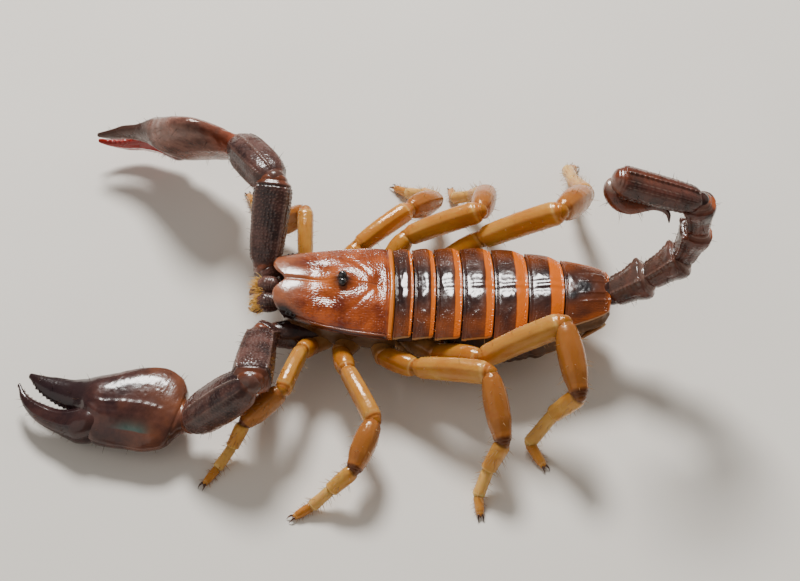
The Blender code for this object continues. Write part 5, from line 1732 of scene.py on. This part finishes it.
# ---------------------------------------------------------------- tail
@dataclass
class Tail:
    """The five tail rings and the sting, curled over the back in the midplane."""

    root: tuple[float, float] = (20.1, 6.8)
    lengths: tuple[float, ...] = (3.9, 4.15, 4.05, 3.75, 8.15)
    pitches: tuple[float, ...] = (35.5, 44.3, 75.3, 93, 159)
    half_widths: tuple[float, ...] = (1.75, 1.6, 1.5, 1.45, 1.4)
    half_heights: tuple[float, ...] = (1.5, 1.45, 1.42, 1.38, 1.2)
    sting_breadth: float = 1.22

    RING = ((0, 0.56), (0.05, 0.70), (0.14, 0.79), (0.5, 0.88), (0.86, 1.08), (0.95, 1.04), (1, 0.78))
    LAST_RING = ((0, 0.62), (0.05, 0.80), (0.14, 0.92), (0.5, 1.0), (0.86, 1.03), (0.95, 0.98), (1, 0.76))
    KEELS = ((50, 0.16), (130, 0.16), (12, 0.045), (168, 0.045), (-42, 0.06), (-138, 0.06))
    INNER_KEELS = ((-78, 0.05), (-102, 0.05))
    SIDE_ROWS = ((-30, 15), (-150, 15), (-57, 13), (-123, 13))
    # Painted highlight: pale laid on the top faces of the first two rings.
    PAINTED_TOP_HIGHLIGHT = (0.30, 0.24, 0, 0, 0)
    DARK_TOP = (0.1, 0.1, 0.3, 0.4, 0.4)
    STING_PATH = ((-0.3, -0.35), (-0.4, -1.1), (-0.15, -1.85), (0.5, -2.6), (1.4, -2.98), (2.3, -3.04),
                  (3.1, -3.12), (4.3, -3.75), (4.95, -4.7), (5.1, -5.8))
    STING_RADIUS = (0.62, 0.86, 0.98, 1.03, 0.93, 0.7, 0.46, 0.3, 0.2, 0.05)

    def joints(self) -> list[Array]:
        """Return the tail's six joints."""
        start = (self.root[0], 0.0, self.root[1])
        return chain(start, tuple((0.0, pitch) for pitch in self.pitches), self.lengths)

    def ring(self, index: int) -> Tube:
        """Return one tail ring with its keels.

        Args:
            index: 0 for the ring next to the trunk.
        """
        joints = self.joints()
        last = index == len(self.lengths) - 1
        wide, high = self.half_widths[index], self.half_heights[index]
        profile = tuple((place, wide * size, high * size)
                        for place, size in (self.LAST_RING if last else self.RING))
        step = unit(joints[index + 1] - joints[index])
        tube = limb_segment(joints[index], joints[index + 1], profile, np.cross(step, ACROSS), 0.8,
                            rows=190 if last else 110, columns=144)
        share = tube.along
        height = 0.03 * noise(tube.grid, 1.3, 151 + index, 3)
        keels = 0.0
        for place, tall in self.KEELS + (() if last else self.INNER_KEELS):
            keels = keels + ridge(tube, place, 6, tall, 18 if last else 9)
        if last:
            keels = keels + ridge(tube, -90, 5, 0.2, 16)
        for place in (50, 130):
            knob = hump(share - 0.9, 0.055) * hump(tube.off(place), 9)
            keels = keels + (0.05 if last else 0.24) * knob
        grain = granules(share * (24 if last else 11), tube.turn * 30, 155 + index, 0.3, 30)
        window = ramp(0.03, 0.1, share) * (1 - ramp(0.93, 0.99, share))
        tube = tube.raised(height + keels + 0.02 * grain * window - 0.08 * hump(share - 0.965, 0.012))
        rise = np.sin(tube.angle)[None]
        ventral = ramp(0.80, 0.97, -rise)
        band = (0.1 if last else 0.7) * ventral * (0.4 + 0.6 * ramp(0.1, 0.8, share))
        band = band + 0.1 * ramp(0.9, 0.97, share)
        band = band + 0.12 * ramp(0.0, 0.7, noise(tube.grid, 0.8, 165 + index, 2))
        pale = np.clip(keels * 0.5, 0, 0.15) + 0.35 * ramp(0.965, 0.99, share) * (1 - ventral)
        if last:
            side_rows = sum(ridge(tube, place, 3.4, 1.0, beads, (0.28, 0.95))
                            for place, beads in self.SIDE_ROWS)
            pale = pale + 0.7 * np.clip(side_rows * 1.6 - 0.7, 0, 1)
        # Painted highlight on the top of the first two rings.
        pale = pale + self.PAINTED_TOP_HIGHLIGHT[index] * ramp(0.1, 0.8, rise)
        dark = self.DARK_TOP[index] * ramp(0.2, 0.9, rise) * (1 - np.clip(keels * 5, 0, 1))
        return tube.masked(band=band, pale=pale, dark=dark)

    def sting(self) -> Tube:
        """Return the venom bulb drawn out into its curved thorn."""
        end = self.joints()[-1]
        path = np.array([end + np.array((x, 0.0, z)) for x, z in self.STING_PATH])
        tube = curved_tube(path, self.STING_RADIUS, ACROSS, 96, 190, self.sting_breadth)
        share = tube.along
        bulb = 1 - ramp(0.45, 0.62, share)
        bumps = granules(share * 26, tube.turn * 22, 161, 0.3, 22) * bulb * ramp(0.1, 0.2, share)
        tube = tube.raised(0.015 * bumps + 0.035 * noise(tube.grid, 1.2, 163, 3) * bulb)
        return tube.masked(band=0.5 * bulb * ramp(0.15, 0.5, share), dark=0.85 * ramp(0.62, 0.95, share),
                           pale=0.05 * bumps + 0.6 * (1 - ramp(0.02, 0.07, share)))

    def build(self, shop: Workshop) -> list[Bristles]:
        """Add the five rings and the sting.

        Returns:
            The tail's bristles.
        """
        joints = self.joints()
        groups = []
        for index, half_height in enumerate(self.half_heights):
            tube = self.ring(index)
            knob = ball(joints[index], half_height * 0.78, rows=24, columns=36, dark=0.5)
            shop.add(f"tail_ring_{index + 1}", [tube.skin(), knob], "tail", (f"metasoma_{index + 1}",))
            hairs = 22 if index < 4 else 44
            groups.append(bristles_on(tube, hairs, 700 + index, 0.7, slot=(index, 6), lean=0.2))
        sting = self.sting()
        knob = ball(joints[5] + np.array((0.15, 0, -0.25)), 0.8, (0.95, 1.15, 0.95), 28, 40, pale=0.6)
        shop.add("sting", [sting.skin(), knob], "sting", ("telson",))
        groups.append(bristles_on(sting, 60, 707, 0.8, (0.1, 0.6), 0.2, slot=(5, 6)))
        return groups


# ---------------------------------------------------------------- studio
def facing(toward: Array) -> tuple[float, float, float]:
    """Return the rotation that turns a lamp's -Z away from the given direction."""
    return math.acos(toward[2]), 0.0, math.atan2(toward[1], toward[0]) + math.pi / 2


@dataclass
class Studio:
    """Pale floor, soft lights and the camera."""

    offset: Array
    camera_elevation: float = 50.0
    camera_distance: float = 0.220
    aim_height: float = 0.0075
    lens: float = 2332 / 800 * 36
    shift_y: float = -0.003125

    def floor(self) -> None:
        """Add the pale floor: a wide sheet with a very slow unevenness of tone."""
        size, count = 1.6, 41
        line = np.linspace(-size, size, count)
        x, y = np.meshgrid(line, line, indexing="ij")
        mesh = bpy.data.meshes.new("floor")
        points = np.stack((x, y, np.full_like(x, -0.00002)), -1).reshape(-1, 3)
        mesh.from_pydata(points, [], grid_quads(count, count, False)[:, ::-1].tolist())
        material = bpy.data.materials.new("floor_paper")
        material.use_nodes = True
        material.node_tree.nodes.clear()
        graph = Graph(material.node_tree)
        place = graph.node("ShaderNodeTexCoord").outputs["Object"]
        tone = graph.remap(graph.noise(place, 30.0, 3.0), 0.3, 0.7)
        colour = graph.mix(tone, (0.76, 0.73, 0.68), (0.80, 0.77, 0.72))
        shader = graph.node("ShaderNodeBsdfPrincipled", {"Base Color": colour, "Roughness": 0.85})
        output = graph.node("ShaderNodeOutputMaterial")
        graph.feed(output.inputs["Surface"], shader.outputs[0])
        mesh.materials.append(material)
        placed("floor", mesh)

    def light(self, name: str, toward: tuple, distance: float, size: float, power: float,
              colour: tuple = (1.0, 1.0, 1.0)) -> None:
        """Add one round soft light that looks at the animal.

        Args:
            name: its name.
            toward: direction from the animal to the light.
            distance: how far away it stands.
            size: its diameter.
            power: its power in watts.
            colour: its tint.
        """
        data = bpy.data.lights.new(name, "AREA")
        data.shape = "DISK"
        data.size = size
        data.energy = power
        data.color = colour
        lamp = placed(name, data)
        lamp.location = unit(toward) * distance + self.offset
        lamp.rotation_euler = facing(unit(toward))

    def lights(self) -> None:
        """Add the key light behind and above, two soft fills and the pale surroundings."""
        self.light("key_light", (-0.12, 0.66, 0.75), 0.40, 0.12, 2.4, (1.0, 0.98, 0.95))
        self.light("fill_light", (-0.7, -0.5, 0.55), 0.50, 0.75, 0.9, (1.0, 0.93, 0.86))
        self.light("rim_light", (0.9, 0.35, 0.5), 0.50, 0.50, 0.3, (1.0, 0.92, 0.82))
        world = bpy.data.worlds.new("studio")
        world.use_nodes = True
        background = world.node_tree.nodes["Background"]
        background.inputs["Color"].default_value = (1.0, 0.95, 0.88, 1.0)
        background.inputs["Strength"].default_value = 0.24
        bpy.context.scene.world = world

    def camera(self) -> None:
        """Add the camera, looking down from the animal's left side."""
        data = bpy.data.cameras.new("camera")
        data.sensor_width = 36.0
        data.lens = self.lens
        data.shift_y = self.shift_y
        data.clip_start = 0.01
        data.clip_end = 10.0
        camera = placed("camera", data)
        angle = math.radians(self.camera_elevation)
        back = np.array((0.0, -math.cos(angle), math.sin(angle)))
        camera.location = self.offset + UP * self.aim_height + back * self.camera_distance
        camera.rotation_euler = (math.radians(90 - self.camera_elevation), 0.0, 0.0)
        bpy.context.scene.camera = camera

    def build(self) -> None:
        """Add floor, lights and camera."""
        self.floor()
        self.lights()
        self.camera()


# ---------------------------------------------------------------- whole model
def main() -> None:
    """Load the frame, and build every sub-assembly round it."""
    logging.basicConfig(level=logging.INFO, format="%(name)s: %(message)s")
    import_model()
    shop = Workshop.open()
    trunk = Trunk()
    HeadShield(trunk).build(shop)
    BackPlates(trunk).build(shop)
    Underside(trunk).build(shop)
    Mouthparts().build(shop)
    for side in Side:
        for number in LEG_PLANS:
            hairs = Leg(side, number).build(shop)
            shop.add_bristles(f"leg_{side.label}_{number}_bristles", hairs, "bristle")
        hairs = ClawArm(side).build(shop)
        shop.add_bristles(f"palp_{side.label}_bristles", hairs, "dark_bristle")
    shop.add_bristles("tail_bristles", Tail().build(shop), "dark_bristle")
    Studio(shop.offset).build()
    log.info("whole model: %d triangles", shop.triangles)


if __name__ == "__main__":
    main()
